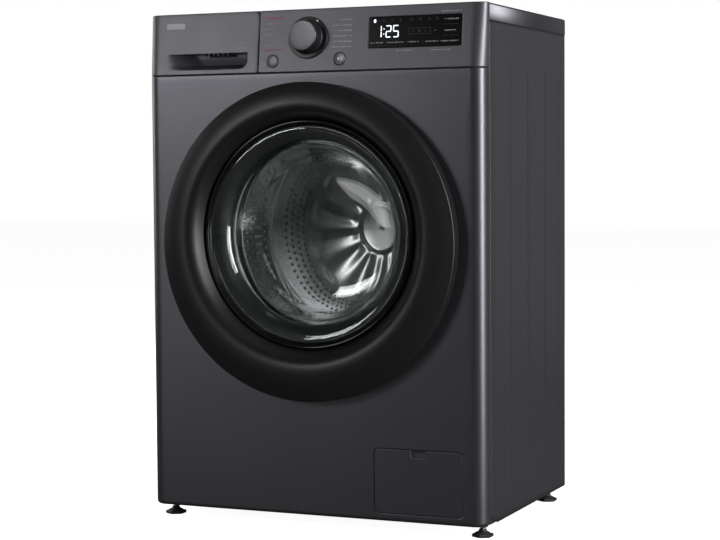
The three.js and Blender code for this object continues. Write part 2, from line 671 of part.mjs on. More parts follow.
const drumShell = () => turned(strip([
  [157, DRUM_FRONT_Y - 8], [163, DRUM_FRONT_Y - 5], [172, DRUM_FRONT_Y], [DRUM_RADIUS - 14, DRUM_FRONT_Y + 2],
  [DRUM_RADIUS - 0.6, DRUM_FRONT_Y + 16], [DRUM_RADIUS - 0.6, DRUM_BACK_Y - 8], [DRUM_RADIUS - 10, DRUM_BACK_Y],
  [0, DRUM_BACK_Y],
], SHEET), MEDIUM);

// Ridge with a rounded crest that runs along the drum's wall.
function lifter(index) {
  const base = DRUM_RADIUS - 6;
  const shape = new THREE.Shape();
  shape.moveTo(-27, -base);
  shape.lineTo(27, -base);
  shape.quadraticCurveTo(15, -base + 20, 8, -base + 44);
  shape.quadraticCurveTo(0, -base + 52, -8, -base + 44);
  shape.quadraticCurveTo(-15, -base + 20, -27, -base);
  return carried(shape, [DRUM_FRONT_Y + 26, DRUM_BACK_Y - 14], 4).rotate([0, 120 * index + 15, 0]);
}

function drumSpider() {
  const hub = rod('y', [DRUM_BACK_Y + 2, TUB_BACK_Y - 6], 34, [0, 0], COARSE);
  const arms = [0, 1, 2].map((i) => {
    const arm = box([-15, 15], [DRUM_BACK_Y + 2, DRUM_BACK_Y + 16], [0, DRUM_RADIUS - 12]);
    return arm.rotate([0, 120 * i, 0]);
  });
  return cut(join(hub, ...arms), rod('y', [330, 360], SHAFT_RADIUS + GAP, [0, 0], COARSE));
}

const drumShaft = () => rod('y', [331, 402], SHAFT_RADIUS, [0, 0], COARSE);

// ---- suspension ----

const WIRE_RADIUS = 1.4;

function hangingSpring(side) {
  const turns = 6;
  const stepsPerTurn = 6;
  const radius = 9;
  const pullBack = 60;            // the lower hook sits this far behind the upper one
  const [bottom, top] = [SPRING_LUG_Z + DRUM_Z + 1.5, SPRING_TOP - 1.5];
  const points = [];
  for (let i = 0; i <= turns * stepsPerTurn; i += 1) {
    const share = i / (turns * stepsPerTurn);
    const angle = 2 * Math.PI * turns * share;
    points.push([
      side * SPRING_X + radius * Math.cos(angle), SPRING_Y + pullBack * (1 - share) + radius * Math.sin(angle),
      bottom + (top - bottom) * share,
    ]);
  }
  return hose(points, WIRE_RADIUS, turns * stepsPerTurn, 4);
}

function damperBody(side) {
  const place = [side * DAMPER_X, DAMPER_Y + 11];
  const bottom = FOOT_HEIGHT + 4 + GAP;
  return cut(rod('z', [bottom, 165], 15, place), rod('z', [bottom + 8, 200], 11, place));
}

// Rod with a friction piston at its lower end, inside the damper's body.
function damperRod(side) {
  const place = [side * DAMPER_X, DAMPER_Y + 11];
  const end = 70;
  return join(rod('z', [end, DRUM_Z - 232 - GAP], 6, place), rod('z', [end, end + 12], 10.4, place));
}

// ---- service hatch, pump filter and feet ----

const NOTCH_X = [175, 199];
const NOTCH_DEPTH = 12.5;

function hatchCover() {
  const inset = 0.8;
  const plate = carried(roundedRectangle(
    [HATCH_X[0] + inset, HATCH_X[1] - inset], [HATCH_Z[0] + inset, HATCH_Z[1] - inset], HATCH_RADIUS - inset,
  ), [0, MOULDING], 3);
  const notch = carried(roundedRectangle(NOTCH_X, [HATCH_Z[1] - NOTCH_DEPTH, HATCH_Z[1] + 9], 3), [-1, 9], 2);
  return plate.subtract(notch);
}

// Screw-in filter: cap with a grip bar in front, sieve barrel behind.
function pumpFilter() {
  const [x, z] = [PUMP_X, PUMP_Z];
  return join(
    rod('y', [11, 22], 30, [x, z], COARSE),
    box([x - 22, x + 22], [5, 14], [z - 4, z + 4]),
    rod('y', [20, 66], 24, [x, z], COARSE),
  );
}

const foot = () => join(
  rod('z', [0, 9], 18, [0, 0], 6),
  rod('z', [8, 13], 13, [0, 0]),
  rod('z', [12, FOOT_HEIGHT + 34], STUD_RADIUS, [0, 0]),
);

// ---- assembly ----
add(cabinet, 'front_panel', frontPanel(), GREY_PAINT);
add(cabinet, 'left_side_panel', sidePanel(-1), GREY_PAINT);
add(cabinet, 'right_side_panel', sidePanel(1), GREY_PAINT);
add(cabinet, 'rear_panel', rearPanel(), ZINC);
add(cabinet, 'rear_cover', rearCover(), ZINC);
add(cabinet, 'base_pan', basePan(), BLACK_PLASTIC);
add(cabinet, 'top_cover', topCover(), GREY_PAINT);
add(cabinet, 'cross_brace', crossBrace(), ZINC);
add(cabinet, 'control_board', controlBoard(), CIRCUIT_BOARD);
add(cabinet, 'dispenser_housing', dispenserHousing(), PALE_PLASTIC);
add(cabinet, 'inlet_valve', inletValve(), WHITE_PLASTIC);
add(cabinet, 'fill_hose', fillHose(), BLACK_RUBBER);
add(cabinet, 'sump_hose', sumpHose(), BLACK_RUBBER);
add(cabinet, 'drain_pump', drainPump(), PALE_PLASTIC);
add(cabinet, 'drain_hose', drainHose(), GREY_RUBBER);
add(cabinet, 'drain_outlet', grommet(DRAIN_HOLE_RADIUS, DRAIN_OUTLET), BLACK_PLASTIC);
add(cabinet, 'mains_gland', grommet(MAINS_HOLE_RADIUS, MAINS_INLET), BLACK_PLASTIC);
add(cabinet, 'pump_filter', pumpFilter(), BLACK_PLASTIC);
add(cabinet, 'service_hatch', hatchCover(), GREY_MOULDING);
add(cabinet, 'drawer_tray', drawerTray(), PALE_PLASTIC);
add(cabinet, 'softener_cap', softenerCap(), PALE_PLASTIC);
for (const [side, word] of [[-1, 'left'], [1, 'right']]) {
  add(cabinet, `${word}_spring`, hangingSpring(side), BRIGHT_STEEL);
  add(cabinet, `${word}_damper_body`, damperBody(side), BLACK_PLASTIC);
  add(cabinet, `${word}_damper_rod`, damperRod(side), PALE_PLASTIC);
}
FEET.forEach(([x, y], i) => add(group(cabinet, x, y), `foot_${i + 1}`, foot(), BLACK_PLASTIC));

const aboveSeam = group(machine, 0, 0, CONSOLE_SEAM);
add(aboveSeam, 'console_panel', consolePanel(), GREY_MOULDING);
add(aboveSeam, 'drawer_front', drawerFront(), GREY_MOULDING);
add(consoleFace, 'display_window', displayWindow(), BLACK_GLOSS);
add(group(consoleFace, KNOB_PLACE[0], 0, KNOB_PLACE[1]), 'program_knob', knob(), BLACK_SATIN);
add(group(consoleFace, POWER_PLACE[0], 0, POWER_PLACE[1]), 'power_button', button(), GREY_MOULDING);
add(group(consoleFace, START_PLACE[0], 0, START_PLACE[1]), 'start_button', button(), GREY_MOULDING);

add(door, 'door_ring', doorRing(), BLACK_SATIN);
add(door, 'door_frame', doorFrame(), BLACK_PLASTIC);
add(door, 'door_glass', doorGlass(), CLEAR_GLASS);
add(door, 'latch_hook', latchHook(), ZINC);
add(door, 'hinge_bracket', hingeBracket(), ZINC);
add(door, 'hinge_pin', hingePin(), BRIGHT_STEEL);
add(door, 'door_lock', doorLock(), BLACK_PLASTIC);

add(drumAxis, 'door_gasket', doorGasket(), GREY_RUBBER);
add(drumAxis, 'tub_front', tubFront(), PALE_PLASTIC);
add(drumAxis, 'tub_rear', tubRear(), PALE_PLASTIC);
add(drumAxis, 'upper_counterweight', counterweight(28, 152), CONCRETE);
add(drumAxis, 'lower_counterweight', counterweight(208, 332), CONCRETE);
add(drumAxis, 'heater', heater(), BRIGHT_STEEL);
add(drumAxis, 'front_bearing', bearing(TUB_BACK_Y + 2), BRIGHT_STEEL);
add(drumAxis, 'rear_bearing', bearing(TUB_BACK_Y + 22), BRIGHT_STEEL);
add(drumAxis, 'motor_stator', motorStator(), COPPER_WINDING);
add(drumAxis, 'motor_rotor', motorRotor(), ZINC);
add(drumAxis, 'drum_shell', drumShell(), STAINLESS);
for (let i = 0; i < 3; i += 1) add(drumAxis, `lifter_${i + 1}`, lifter(i), WHITE_PLASTIC);
add(drumAxis, 'drum_spider', drumSpider(), ALUMINIUM);
add(drumAxis, 'drum_shaft', drumShaft(), BRIGHT_STEEL);

export default machine;
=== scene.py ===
"""Front load washing machine: finished surfaces, finishes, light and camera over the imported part.

Surfaces are worked out in millimetres in the machine's own frame: X to the right of someone facing the
door, Y back from the plane of the front panel, Z up from the floor. `placed` moves them into the row frame.
"""
import json
import math

import bmesh
import bpy
import numpy as np
from mathutils import Matrix, Vector

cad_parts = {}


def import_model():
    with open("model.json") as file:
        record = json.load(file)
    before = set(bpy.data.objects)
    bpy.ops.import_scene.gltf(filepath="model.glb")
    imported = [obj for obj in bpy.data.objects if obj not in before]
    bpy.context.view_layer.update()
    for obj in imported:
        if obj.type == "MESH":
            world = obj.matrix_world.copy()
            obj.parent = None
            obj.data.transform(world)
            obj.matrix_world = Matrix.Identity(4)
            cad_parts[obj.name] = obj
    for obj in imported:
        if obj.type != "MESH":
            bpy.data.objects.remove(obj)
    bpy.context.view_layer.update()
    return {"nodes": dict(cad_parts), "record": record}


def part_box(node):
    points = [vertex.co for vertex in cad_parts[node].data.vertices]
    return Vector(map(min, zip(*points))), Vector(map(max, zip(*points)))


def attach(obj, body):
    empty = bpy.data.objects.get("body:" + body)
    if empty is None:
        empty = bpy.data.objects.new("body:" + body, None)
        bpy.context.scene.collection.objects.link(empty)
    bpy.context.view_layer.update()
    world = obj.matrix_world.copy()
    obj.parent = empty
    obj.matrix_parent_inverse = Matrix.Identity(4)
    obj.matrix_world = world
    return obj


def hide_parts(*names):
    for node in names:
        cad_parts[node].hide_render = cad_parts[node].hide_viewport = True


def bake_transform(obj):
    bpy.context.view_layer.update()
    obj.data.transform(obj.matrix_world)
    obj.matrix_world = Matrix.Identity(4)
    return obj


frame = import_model()

# ---- places read from the part ----
MM = 0.001
ORIGIN = np.array([0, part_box("front_panel")[0].y, 0])


def mm_box(node):
    """Lowest and highest corner of a node in the machine's own frame, in millimetres."""
    return [(np.array(corner) - ORIGIN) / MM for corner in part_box(node)]


def placed(points):
    """Millimetres in the machine's own frame to metres in the row frame."""
    return np.asarray(points, float) * MM + ORIGIN


PANEL_LOW, PANEL_HIGH = mm_box("front_panel")
HALF = PANEL_HIGH[0]             # half the width of the cabinet
WRAP = 29.0                      # how far the front parts reach back round the sides
COVER_LOW, COVER_HIGH = mm_box("top_cover")
TOP = COVER_HIGH[2]
SEAM = mm_box("console_panel")[0][2]
DRUM_Z = sum(corner[2] for corner in mm_box("door_glass")) / 2
DOOR_Z = sum(corner[2] for corner in mm_box("door_frame")) / 2
EDGE = 22.0                      # radius of the upright front edges
LEAN = 12.0                      # how far the control panel leans back at its top
LEAN_ANGLE = math.atan(LEAN / (TOP - SEAM))
SHEET = 1.2                      # thickness of the painted steel
ROUND = 192                      # steps round the door and drum


# ---- meshes ----
class Surface:
    """Grids of points gathered into one mesh."""

    def __init__(self):
        self.points, self.faces, self.count = [], [], 0

    def grid(self, points, wrap=False):
        """Adds rows x columns points; wrap joins the last column to the first."""
        rows, columns = points.shape[:2]
        r = np.arange(rows - 1)[:, None]
        c = np.arange(columns if wrap else columns - 1)[None, :]
        n = (c + 1) % columns
        corners = [r * columns + c, r * columns + n, (r + 1) * columns + n, (r + 1) * columns + c]
        faces = np.stack(corners, -1).reshape(-1, 4) + self.count
        return self.add(points.reshape(-1, 3), faces.tolist())

    def cap(self, ring):
        """Adds one flat face inside a ring of points."""
        return self.add(ring, [list(range(self.count, self.count + len(ring)))])

    def closed(self, rings):
        """Adds a grid that is closed round, with a flat face at each end."""
        return self.grid(rings, wrap=True).cap(rings[0]).cap(rings[-1])

    def add(self, points, faces):
        """Adds points with faces numbered from the first point of the whole surface."""
        self.points.append(np.asarray(points, float))
        self.faces += faces
        self.count += len(points)
        return self

    def build(self, name, finish, body, slot=None, stands_for=(), facing=None, wall=0.0, bevel=0.0,
              sharp=40, weld=2e-6, ride=True):
        """One object at the origin: welded, faces outward, then wall thickness and edge rounding.
        It rides on the body and takes the places of the nodes that it stands for."""
        mesh = bpy.data.meshes.new(name)
        mesh.from_pydata(placed(np.concatenate(self.points)).tolist(), [], self.faces)
        mesh.materials.append(finish)
        work = bmesh.new()
        work.from_mesh(mesh)
        bmesh.ops.remove_doubles(work, verts=work.verts, dist=weld)
        bmesh.ops.dissolve_degenerate(work, edges=work.edges, dist=weld)
        bmesh.ops.recalc_face_normals(work, faces=work.faces)
        if facing is not None:
            towards = Vector(facing)
            if sum(face.normal.dot(towards) * face.calc_area() for face in work.faces) < 0:
                bmesh.ops.reverse_faces(work, faces=work.faces)
        work.to_mesh(mesh)
        work.free()
        mesh.shade_smooth()
        mesh.set_sharp_from_angle(angle=math.radians(sharp))
        piece = bpy.data.objects.new(name, mesh)
        bpy.context.scene.collection.objects.link(piece)
        if wall:
            thicken(piece, wall)
        if bevel:
            soften(piece, bevel)
        if ride:
            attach(piece, body)
        if stands_for:
            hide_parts(*stands_for)
        return piece


def thicken(piece, wall):
    """Wall thickness in millimetres, added on the inside of an open sheet."""
    modifier = piece.modifiers.new("wall", "SOLIDIFY")
    modifier.thickness = wall * MM
    modifier.offset = -1
    modifier.use_even_offset = True


def soften(piece, width, segments=2, angle=38):
    """Rounded edges, millimetres wide, on every edge sharper than the angle."""
    modifier = piece.modifiers.new("edges", "BEVEL")
    modifier.width = width * MM
    modifier.segments = segments
    modifier.limit_method = "ANGLE"
    modifier.angle_limit = math.radians(angle)
    modifier.harden_normals = True


def spline(points, steps):
    """Catmull-Rom curve through the points: on each span
    p = (2b + (c - a)t + (2a - 5b + 4c - d)t^2 + (3b - a - 3c + d)t^3) / 2."""
    p = np.asarray(points, float)
    p = np.concatenate([[2 * p[0] - p[1]], p, [2 * p[-1] - p[-2]]])
    t = np.linspace(0, 1, steps, endpoint=False)[None, :, None]
    a, b, c, d = (p[i:len(p) - 3 + i, None, :] for i in range(4))
    spans = (2 * b + (c - a) * t + (2 * a - 5 * b + 4 * c - d) * t ** 2 + (3 * b - a - 3 * c + d)
             * t ** 3) / 2
    return np.concatenate([spans.reshape(-1, p.shape[1]), p[-2:-1]])


def smooth(t):
    """Smooth step from 0 to 1: t^2 (3 - 2t), with t held between 0 and 1."""
    t = np.clip(t, 0, 1)
    return t * t * (3 - 2 * t)


def turn(steps=ROUND):
    """Even angles once round, in radians."""
    return np.linspace(0, 2 * np.pi, steps, endpoint=False)


def arc(centre, radius, start, stop, steps=10):
    """Points on a circle from one angle to another, in degrees: centre + radius (cos a, sin a)."""
    a = np.radians(np.linspace(start, stop, steps))
    return np.stack([centre[0] + radius * np.cos(a), centre[1] + radius * np.sin(a)], -1)


def lathe(profile, centre_z, steps=ROUND, rise=None):
    """Profile of (r, y) turned about the Y axis at centre_z: x = r sin a, z = centre_z + r cos a.
    rise(r) lifts each circle, so that an inner edge can sit higher than an outer one."""
    profile = np.asarray(profile, float)
    a = turn(steps)[None, :]
    r, y = profile[:, :1], profile[:, 1:2]
    lift = rise(r) if rise else 0
    return np.stack([r * np.sin(a), y + 0 * a, centre_z + lift + r * np.cos(a)], -1)


def frames_along(path):
    """Two unit vectors square to a path at each of its points, carried along without twisting."""
    tangent = np.gradient(path, axis=0)
    tangent /= np.linalg.norm(tangent, axis=1, keepdims=True)
    guide = np.array([0.0, 0.0, 1.0]) if abs(tangent[0][2]) < 0.9 else np.array([1.0, 0.0, 0.0])
    sides = []
    for t in tangent:
        guide = guide - t * guide.dot(t)
        guide = guide / np.linalg.norm(guide)
        sides.append(guide)
    side = np.array(sides)
    return side, np.cross(tangent, side)


def tube(path, radius, sides):
    """Circle of radius(s) carried along a path: p + radius (side cos a + up sin a)."""
    path = np.asarray(path, float)
    side, up = frames_along(path)
    a = turn(sides)
    ring = side[:, None] * np.cos(a)[None, :, None] + up[:, None] * np.sin(a)[None, :, None]
    reach = np.broadcast_to(np.asarray(radius, float), (len(path),))
    return path[:, None] + ring * reach[:, None, None]


def lines(stops, counts):
    """Positions from stop to stop, closer together near each stop: a half cosine between
    neighbours."""
    parts = [a + (b - a) * (1 - np.cos(np.pi * np.arange(n) / n)) / 2 for a, b,
             n in zip(stops, stops[1:], counts)]
    return np.append(np.concatenate(parts), stops[-1])


def round_hole(centre, radius):
    """Outline points drawn in along rays from the centre onto a circle."""
    def draw(outline):
        away = outline - np.array(centre)
        return np.array(centre) + radius * away / np.linalg.norm(away, axis=1, keepdims=True)
    return draw


def cornered(points, low, high, radius):
    """Points of a rectangle's border drawn in onto its corner arcs: core + radius * unit(point -
    core)."""
    core = np.clip(points, np.array(low) + radius, np.array(high) - radius)
    away = points - core
    return core + away / np.linalg.norm(away, axis=1, keepdims=True) * radius


def cornered_hole(low, high, radius):
    """Outline points scaled onto a rectangle with rounded corners."""
    def draw(outline):
        share = (outline - outline.min(0)) / np.ptp(outline, axis=0)
        return cornered(np.array(low) + share * (np.array(high) - np.array(low)), low, high, radius)
    return draw


def border(x, z):
    """Outline of a block of lines, once round from its lower left corner."""
    return np.concatenate([
        np.stack([x[:-1], np.full(len(x) - 1, z[0])], -1),
        np.stack([np.full(len(z) - 1, x[-1]), z[:-1]], -1),
        np.stack([x[:0:-1], np.full(len(x) - 1, z[-1])], -1),
        np.stack([np.full(len(z) - 1, x[0]), z[:0:-1]], -1),
    ])


def holed_block(surface, x, z, hole, shape, lip, middle=None, steps=4):
    """A block of lines as a ring between its hole's outline and its own. shape(x, z, depth) gives
    the point; lip rows run (grow, depth) into the hole, away from its middle."""
    outline = border(x, z)
    edge = hole(outline)
    middle = edge.mean(0) if middle is None else middle
    away = (edge - middle) / np.linalg.norm(edge - middle, axis=1, keepdims=True)
    rows = np.array([edge + away * grow for grow, _ in lip])
    share = np.linspace(0, 1, steps + 1)[1:, None, None]
    ring = np.concatenate([rows[::-1], rows[0] + (outline - rows[0]) * share])
    depths = np.append([depth for _, depth in lip][::-1], np.zeros(steps))
    depth = depths[:, None] + np.zeros(len(outline))
    surface.grid(shape(ring[..., 0], ring[..., 1], depth), wrap=True)


def holed_panel(surface, across, up, holes, shape, lip):
    """A sheet in (x, z) laid out as blocks between lines, some of them with a hole. Gives back its
    lines."""
    xs, zs = lines(*across), lines(*up)
    starts_x, starts_z = np.append(0, np.cumsum(across[1])), np.append(0, np.cumsum(up[1]))
    for i in range(len(across[1])):
        for j in range(len(up[1])):
            x = xs[starts_x[i]:starts_x[i + 1] + 1]
            z = zs[starts_z[j]:starts_z[j + 1] + 1]
            if (i, j) in holes:
                holed_block(surface, x, z, holes[i, j], shape, lip)
            else:
                gx, gz = np.meshgrid(x, z)
                surface.grid(shape(gx, gz, 0 * gx))
    return xs, zs


# ---- finishes ----
def finish_group():
    """Shared finish, read from one vector: a cloudy tint, smudged roughness and fine grain
    height."""
    group = bpy.data.node_groups.new("finish", "ShaderNodeTree")
    for name, kind in [("Vector", "Vector"), ("Color", "Color"), ("Tint", "Float"),
                       ("Roughness", "Float"),
                       ("Smudge", "Float"), ("Cloud Scale", "Float"), ("Grain Scale", "Float")]:
        group.interface.new_socket(name, in_out="INPUT", socket_type=f"NodeSocket{kind}")
    for name, kind in [("Color", "Color"), ("Roughness", "Float"), ("Height", "Float")]:
        group.interface.new_socket(name, in_out="OUTPUT", socket_type=f"NodeSocket{kind}")
    nodes, links = group.nodes, group.links
    entry, leave = nodes.new("NodeGroupInput"), nodes.new("NodeGroupOutput")

    def noise(scale, detail):
        node = nodes.new("ShaderNodeTexNoise")
        node.inputs["Detail"].default_value = detail
        links.new(entry.outputs["Vector"], node.inputs["Vector"])
        links.new(scale, node.inputs["Scale"])
        return node.outputs[0]

    def math_node(operation, a, b):
        node = nodes.new("ShaderNodeMath")
        node.operation = operation
        for socket, value in zip(node.inputs, (a, b)):
            if isinstance(value, (int, float)):
                socket.default_value = value
            else:
                links.new(value, socket)
        return node.outputs[0]

    cloud = noise(entry.outputs["Cloud Scale"], 4)
    centred = math_node("SUBTRACT", cloud, 0.5)
    gain = math_node("ADD", math_node("MULTIPLY", centred, entry.outputs["Tint"]), 1.0)
    shade = nodes.new("ShaderNodeVectorMath")
    shade.operation = "SCALE"
    links.new(entry.outputs["Color"], shade.inputs[0])
    links.new(gain, shade.inputs["Scale"])
    links.new(shade.outputs[0], leave.inputs["Color"])
    smudge = noise(math_node("MULTIPLY", entry.outputs["Cloud Scale"], 2.7), 5)
    spread = math_node("MULTIPLY", math_node("SUBTRACT", smudge, 0.5), entry.outputs["Smudge"])
    links.new(math_node("ADD", spread, entry.outputs["Roughness"]), leave.inputs["Roughness"])
    links.new(noise(entry.outputs["Grain Scale"], 2), leave.inputs["Height"])
    return group


FINISH = finish_group()


def material(name, color, roughness, metallic=0.0, tint=0.25, smudge=0.12, cloud=9.0, grain=1400.0,
             bump=0.02,
             stretch=(1, 1, 1), **constants):
    """Principled finish whose colour, roughness and bump come from the shared group.
    The stretch squeezes the pattern, as in brushed metal."""
    made = bpy.data.materials.new(name)
    made.use_nodes = True
    nodes, links = made.node_tree.nodes, made.node_tree.links
    shader = nodes["Principled BSDF"]
    place = nodes.new("ShaderNodeTexCoord")
    mapping = nodes.new("ShaderNodeMapping")
    mapping.inputs["Scale"].default_value = stretch
    links.new(place.outputs["Object"], mapping.inputs["Vector"])
    group = nodes.new("ShaderNodeGroup")
    group.name = "finish"
    group.node_tree = FINISH
    links.new(mapping.outputs[0], group.inputs["Vector"])
    for socket, value in [("Color", (*color, 1)), ("Tint", tint), ("Roughness", roughness),
                          ("Smudge", smudge),
                          ("Cloud Scale", cloud), ("Grain Scale", grain)]:
        group.inputs[socket].default_value = value
    height = nodes.new("ShaderNodeBump")
    height.name = "relief"
    height.inputs["Strength"].default_value = 0.5
    height.inputs["Distance"].default_value = bump * MM
    links.new(group.outputs["Height"], height.inputs["Height"])
    links.new(group.outputs["Color"], shader.inputs["Base Color"])
    links.new(group.outputs["Roughness"], shader.inputs["Roughness"])
    links.new(height.outputs[0], shader.inputs["Normal"])
    shader.inputs["Metallic"].default_value = metallic
    for socket, value in constants.items():
        shader.inputs[socket.replace("_", " ")].default_value = value
    return made


def cells(made, scale, amount, width=0.12):
    """Adds crystal-like cells to a finish: their edges tint the colour and feed the relief."""
    nodes, links = made.node_tree.nodes, made.node_tree.links
    pattern = nodes.new("ShaderNodeTexVoronoi")
    pattern.inputs["Scale"].default_value = scale
    links.new(nodes["Mapping"].outputs[0], pattern.inputs["Vector"])
    ramp = nodes.new("ShaderNodeMapRange")
    ramp.inputs["From Max"].default_value = width
    ramp.inputs["To Min"].default_value = 1 - amount
    links.new(pattern.outputs["Distance"], ramp.inputs["Value"])
    shade = nodes.new("ShaderNodeVectorMath")
    shade.operation = "SCALE"
    links.new(nodes["finish"].outputs["Color"], shade.inputs[0])
    links.new(ramp.outputs[0], shade.inputs["Scale"])
    links.new(shade.outputs[0], nodes["Principled BSDF"].inputs["Base Color"])
    return made


def glass_material(name, color, roughness=0.0):
    """Solid glass that lets lamp light straight through to what is behind it."""
    made = material(name, color, roughness, tint=0.04, smudge=0.012, cloud=14, grain=60, bump=0.004,
                    Transmission_Weight=1.0, IOR=1.5, Specular_IOR_Level=0.3)
    nodes, links = made.node_tree.nodes, made.node_tree.links
    clear = nodes.new("ShaderNodeBsdfTransparent")
    clear.inputs["Color"].default_value = (0.93, 0.95, 0.94, 1)
    ray = nodes.new("ShaderNodeLightPath")
    mix = nodes.new("ShaderNodeMixShader")
    links.new(ray.outputs["Is Shadow Ray"], mix.inputs[0])
    links.new(nodes["Principled BSDF"].outputs[0], mix.inputs[1])
    links.new(clear.outputs[0], mix.inputs[2])
    links.new(mix.outputs[0], nodes["Material Output"].inputs["Surface"])
    return made


PAINT = material("grey_paint", (0.084, 0.082, 0.093), 0.38, metallic=0.8, tint=0.12, smudge=0.06,
                 cloud=6,
                 grain=2600, bump=0.012)
MOULDING = material("grey_moulding", (0.1, 0.096, 0.107), 0.44, metallic=0.75, tint=0.12,
                    smudge=0.06, cloud=8,
                    grain=3000, bump=0.016)
ZINC = cells(material("zinc_sheet", (0.52, 0.53, 0.54), 0.42, metallic=0.9, tint=0.35, smudge=0.25,
                      cloud=30,
                      grain=700, bump=0.02), 90, 0.18)
SATIN = material("black_satin", (0.009, 0.009, 0.01), 0.4, tint=0.2, smudge=0.08, cloud=7,
                 grain=3200, bump=0.01,
                 Specular_IOR_Level=0.3)
GLOSS = material("black_gloss", (0.004, 0.004, 0.005), 0.1, tint=0.15, smudge=0.03, cloud=20,
                 grain=400,
                 bump=0.002, Specular_IOR_Level=0.35)
BLACK_PLASTIC = material("black_plastic", (0.016, 0.016, 0.017), 0.55, tint=0.3, smudge=0.15,
                         cloud=14,
                         grain=1800, bump=0.03)
PALE_PLASTIC = material("pale_plastic", (0.55, 0.56, 0.57), 0.5, tint=0.14, smudge=0.14, cloud=12,
                        grain=1500,
                        bump=0.025)
GLASS = glass_material("door_glass", (0.93, 0.975, 0.96))
STEEL_DRUM = material("stainless", (0.72, 0.72, 0.73), 0.2, metallic=1.0, tint=0.12, smudge=0.1,
                      cloud=5,
                      grain=160, bump=0.03, stretch=(1, 0.12, 1))
ALUMINIUM = material("aluminium", (0.5, 0.5, 0.51), 0.5, metallic=1.0, tint=0.3, smudge=0.2,
                     cloud=25, grain=900,
                     bump=0.05)
CONCRETE = cells(material("concrete", (0.3, 0.295, 0.28), 0.92, tint=0.5, smudge=0.1, cloud=35,
                          grain=420,
                          bump=0.5), 260, 0.3, 0.2)
GREY_RUBBER = material("grey_rubber", (0.105, 0.108, 0.11), 0.62, tint=0.3, smudge=0.18, cloud=18,
                       grain=1300,
                       bump=0.03)
BLACK_RUBBER = material("black_rubber", (0.014, 0.014, 0.014), 0.7, tint=0.35, smudge=0.2, cloud=22,
                        grain=1300,
                        bump=0.04)
WINDING = material("winding", (0.36, 0.15, 0.06), 0.4, metallic=0.7, tint=0.4, smudge=0.2, cloud=60,
                   grain=260,
                   bump=0.3, stretch=(1, 1, 8))
BOARD = material("circuit_board", (0.012, 0.09, 0.045), 0.5, tint=0.5, smudge=0.2, cloud=70,
                 grain=600, bump=0.05)
BRIGHT = material("bright_steel", (0.62, 0.63, 0.64), 0.24, metallic=1.0, tint=0.15, smudge=0.14,
                  cloud=30,
                  grain=900, bump=0.012)
CAP_GREY = material("knob_cap", (0.1, 0.098, 0.106), 0.4, metallic=0.75, tint=0.12, smudge=0.08,
                    cloud=20,
                    grain=2600, bump=0.008)
DARK_BORDER = material("glass_border", (0.005, 0.0055, 0.006), 0.5, tint=0.25, smudge=0.1, cloud=10,
                       grain=900,
                       bump=0.01, Specular_IOR_Level=0.15)
PRINT = material("pale_print", (0.42, 0.42, 0.44), 0.6, tint=0.2, smudge=0.1, cloud=60, grain=2000,
                 bump=0.004)
RED_PRINT = material("red_print", (0.42, 0.06, 0.11), 0.6, tint=0.2, smudge=0.1, cloud=60,
                     grain=2000, bump=0.004)
DIM_PRINT = material("dim_print", (0.05, 0.05, 0.053), 0.5, tint=0.2, smudge=0.1, cloud=60,
                     grain=2000, bump=0.004)
BADGE = material("badge", (0.28, 0.28, 0.29), 0.45, metallic=0.3, tint=0.15, smudge=0.1, cloud=40,
                 grain=1800,
                 bump=0.01, stretch=(1, 1, 10))
GLOW = material("lit_segments", (0.8, 0.82, 0.85), 0.5, tint=0.1, smudge=0.05, cloud=60, grain=800,
                bump=0.004,
                Emission_Color=(0.86, 0.9, 1.0, 1), Emission_Strength=1.6)
DISPLAY_BLACK = material("display_black", (0.004, 0.004, 0.005), 0.22, tint=0.15, smudge=0.03,
                         cloud=20, grain=400,
                         bump=0.002, Specular_IOR_Level=0.12)
KNOB_BLACK = material("knob_black", (0.009, 0.009, 0.011), 0.38, tint=0.2, smudge=0.08, cloud=20,
                      grain=2400,
                      bump=0.006, Specular_IOR_Level=0.3)
DOT_WHITE = material("dot_white", (0.85, 0.85, 0.86), 0.4, tint=0.1, smudge=0.05, cloud=60,
                     grain=900, bump=0.004)
BUTTON_GREY = material("button_grey", (0.1, 0.1, 0.108), 0.38, metallic=0.6, tint=0.12, smudge=0.08,
                       cloud=30,
                       grain=2400, bump=0.008)
LIT_PRINT = material("bright_print", (0.75, 0.75, 0.78), 0.5, tint=0.1, smudge=0.05, cloud=60,
                     grain=1500, bump=0.004)
LIFTER_GREY = material("lifter_grey", (0.3, 0.31, 0.32), 0.38, tint=0.12, smudge=0.12, cloud=14,
                       grain=1500,
                       bump=0.02)
LINE_PRINT = cells(material("line_print", (0.22, 0.22, 0.235), 0.6, tint=0.2, smudge=0.1, cloud=60,
                            grain=2000, bump=0.004), 900, 0.1)

# ---- front panel ----
FLAT = HALF - EDGE
PANEL_ROLL_TOP = 2.2
PANEL_ROLL_BOTTOM = 6.0
PANEL_TOP, PANEL_BOTTOM = PANEL_HIGH[2], PANEL_LOW[2]
DISH = 208.0                     # radius of the dished opening
HATCH_LOW, HATCH_HIGH = np.array([110, 35.0]), np.array([263, 140.5])
LATCH_LOW, LATCH_HIGH = (213, 454.5), (231, 488.5)
LIP = [(0.5, 0.0), (0.15, 0.15), (0.0, 0.5), (0.0, 3.2)]


def plan_round(inset, steps=9):
    """Quarter round of the front edge seen from above, from the side to the face, left hand:
    centre (-HALF + EDGE, EDGE), radius EDGE - inset."""
    a = np.linspace(0, np.pi / 2, steps)
    return np.stack([-HALF + EDGE - (EDGE - inset) * np.cos(a), EDGE - (EDGE - inset) * np.sin(a)],
                    -1)


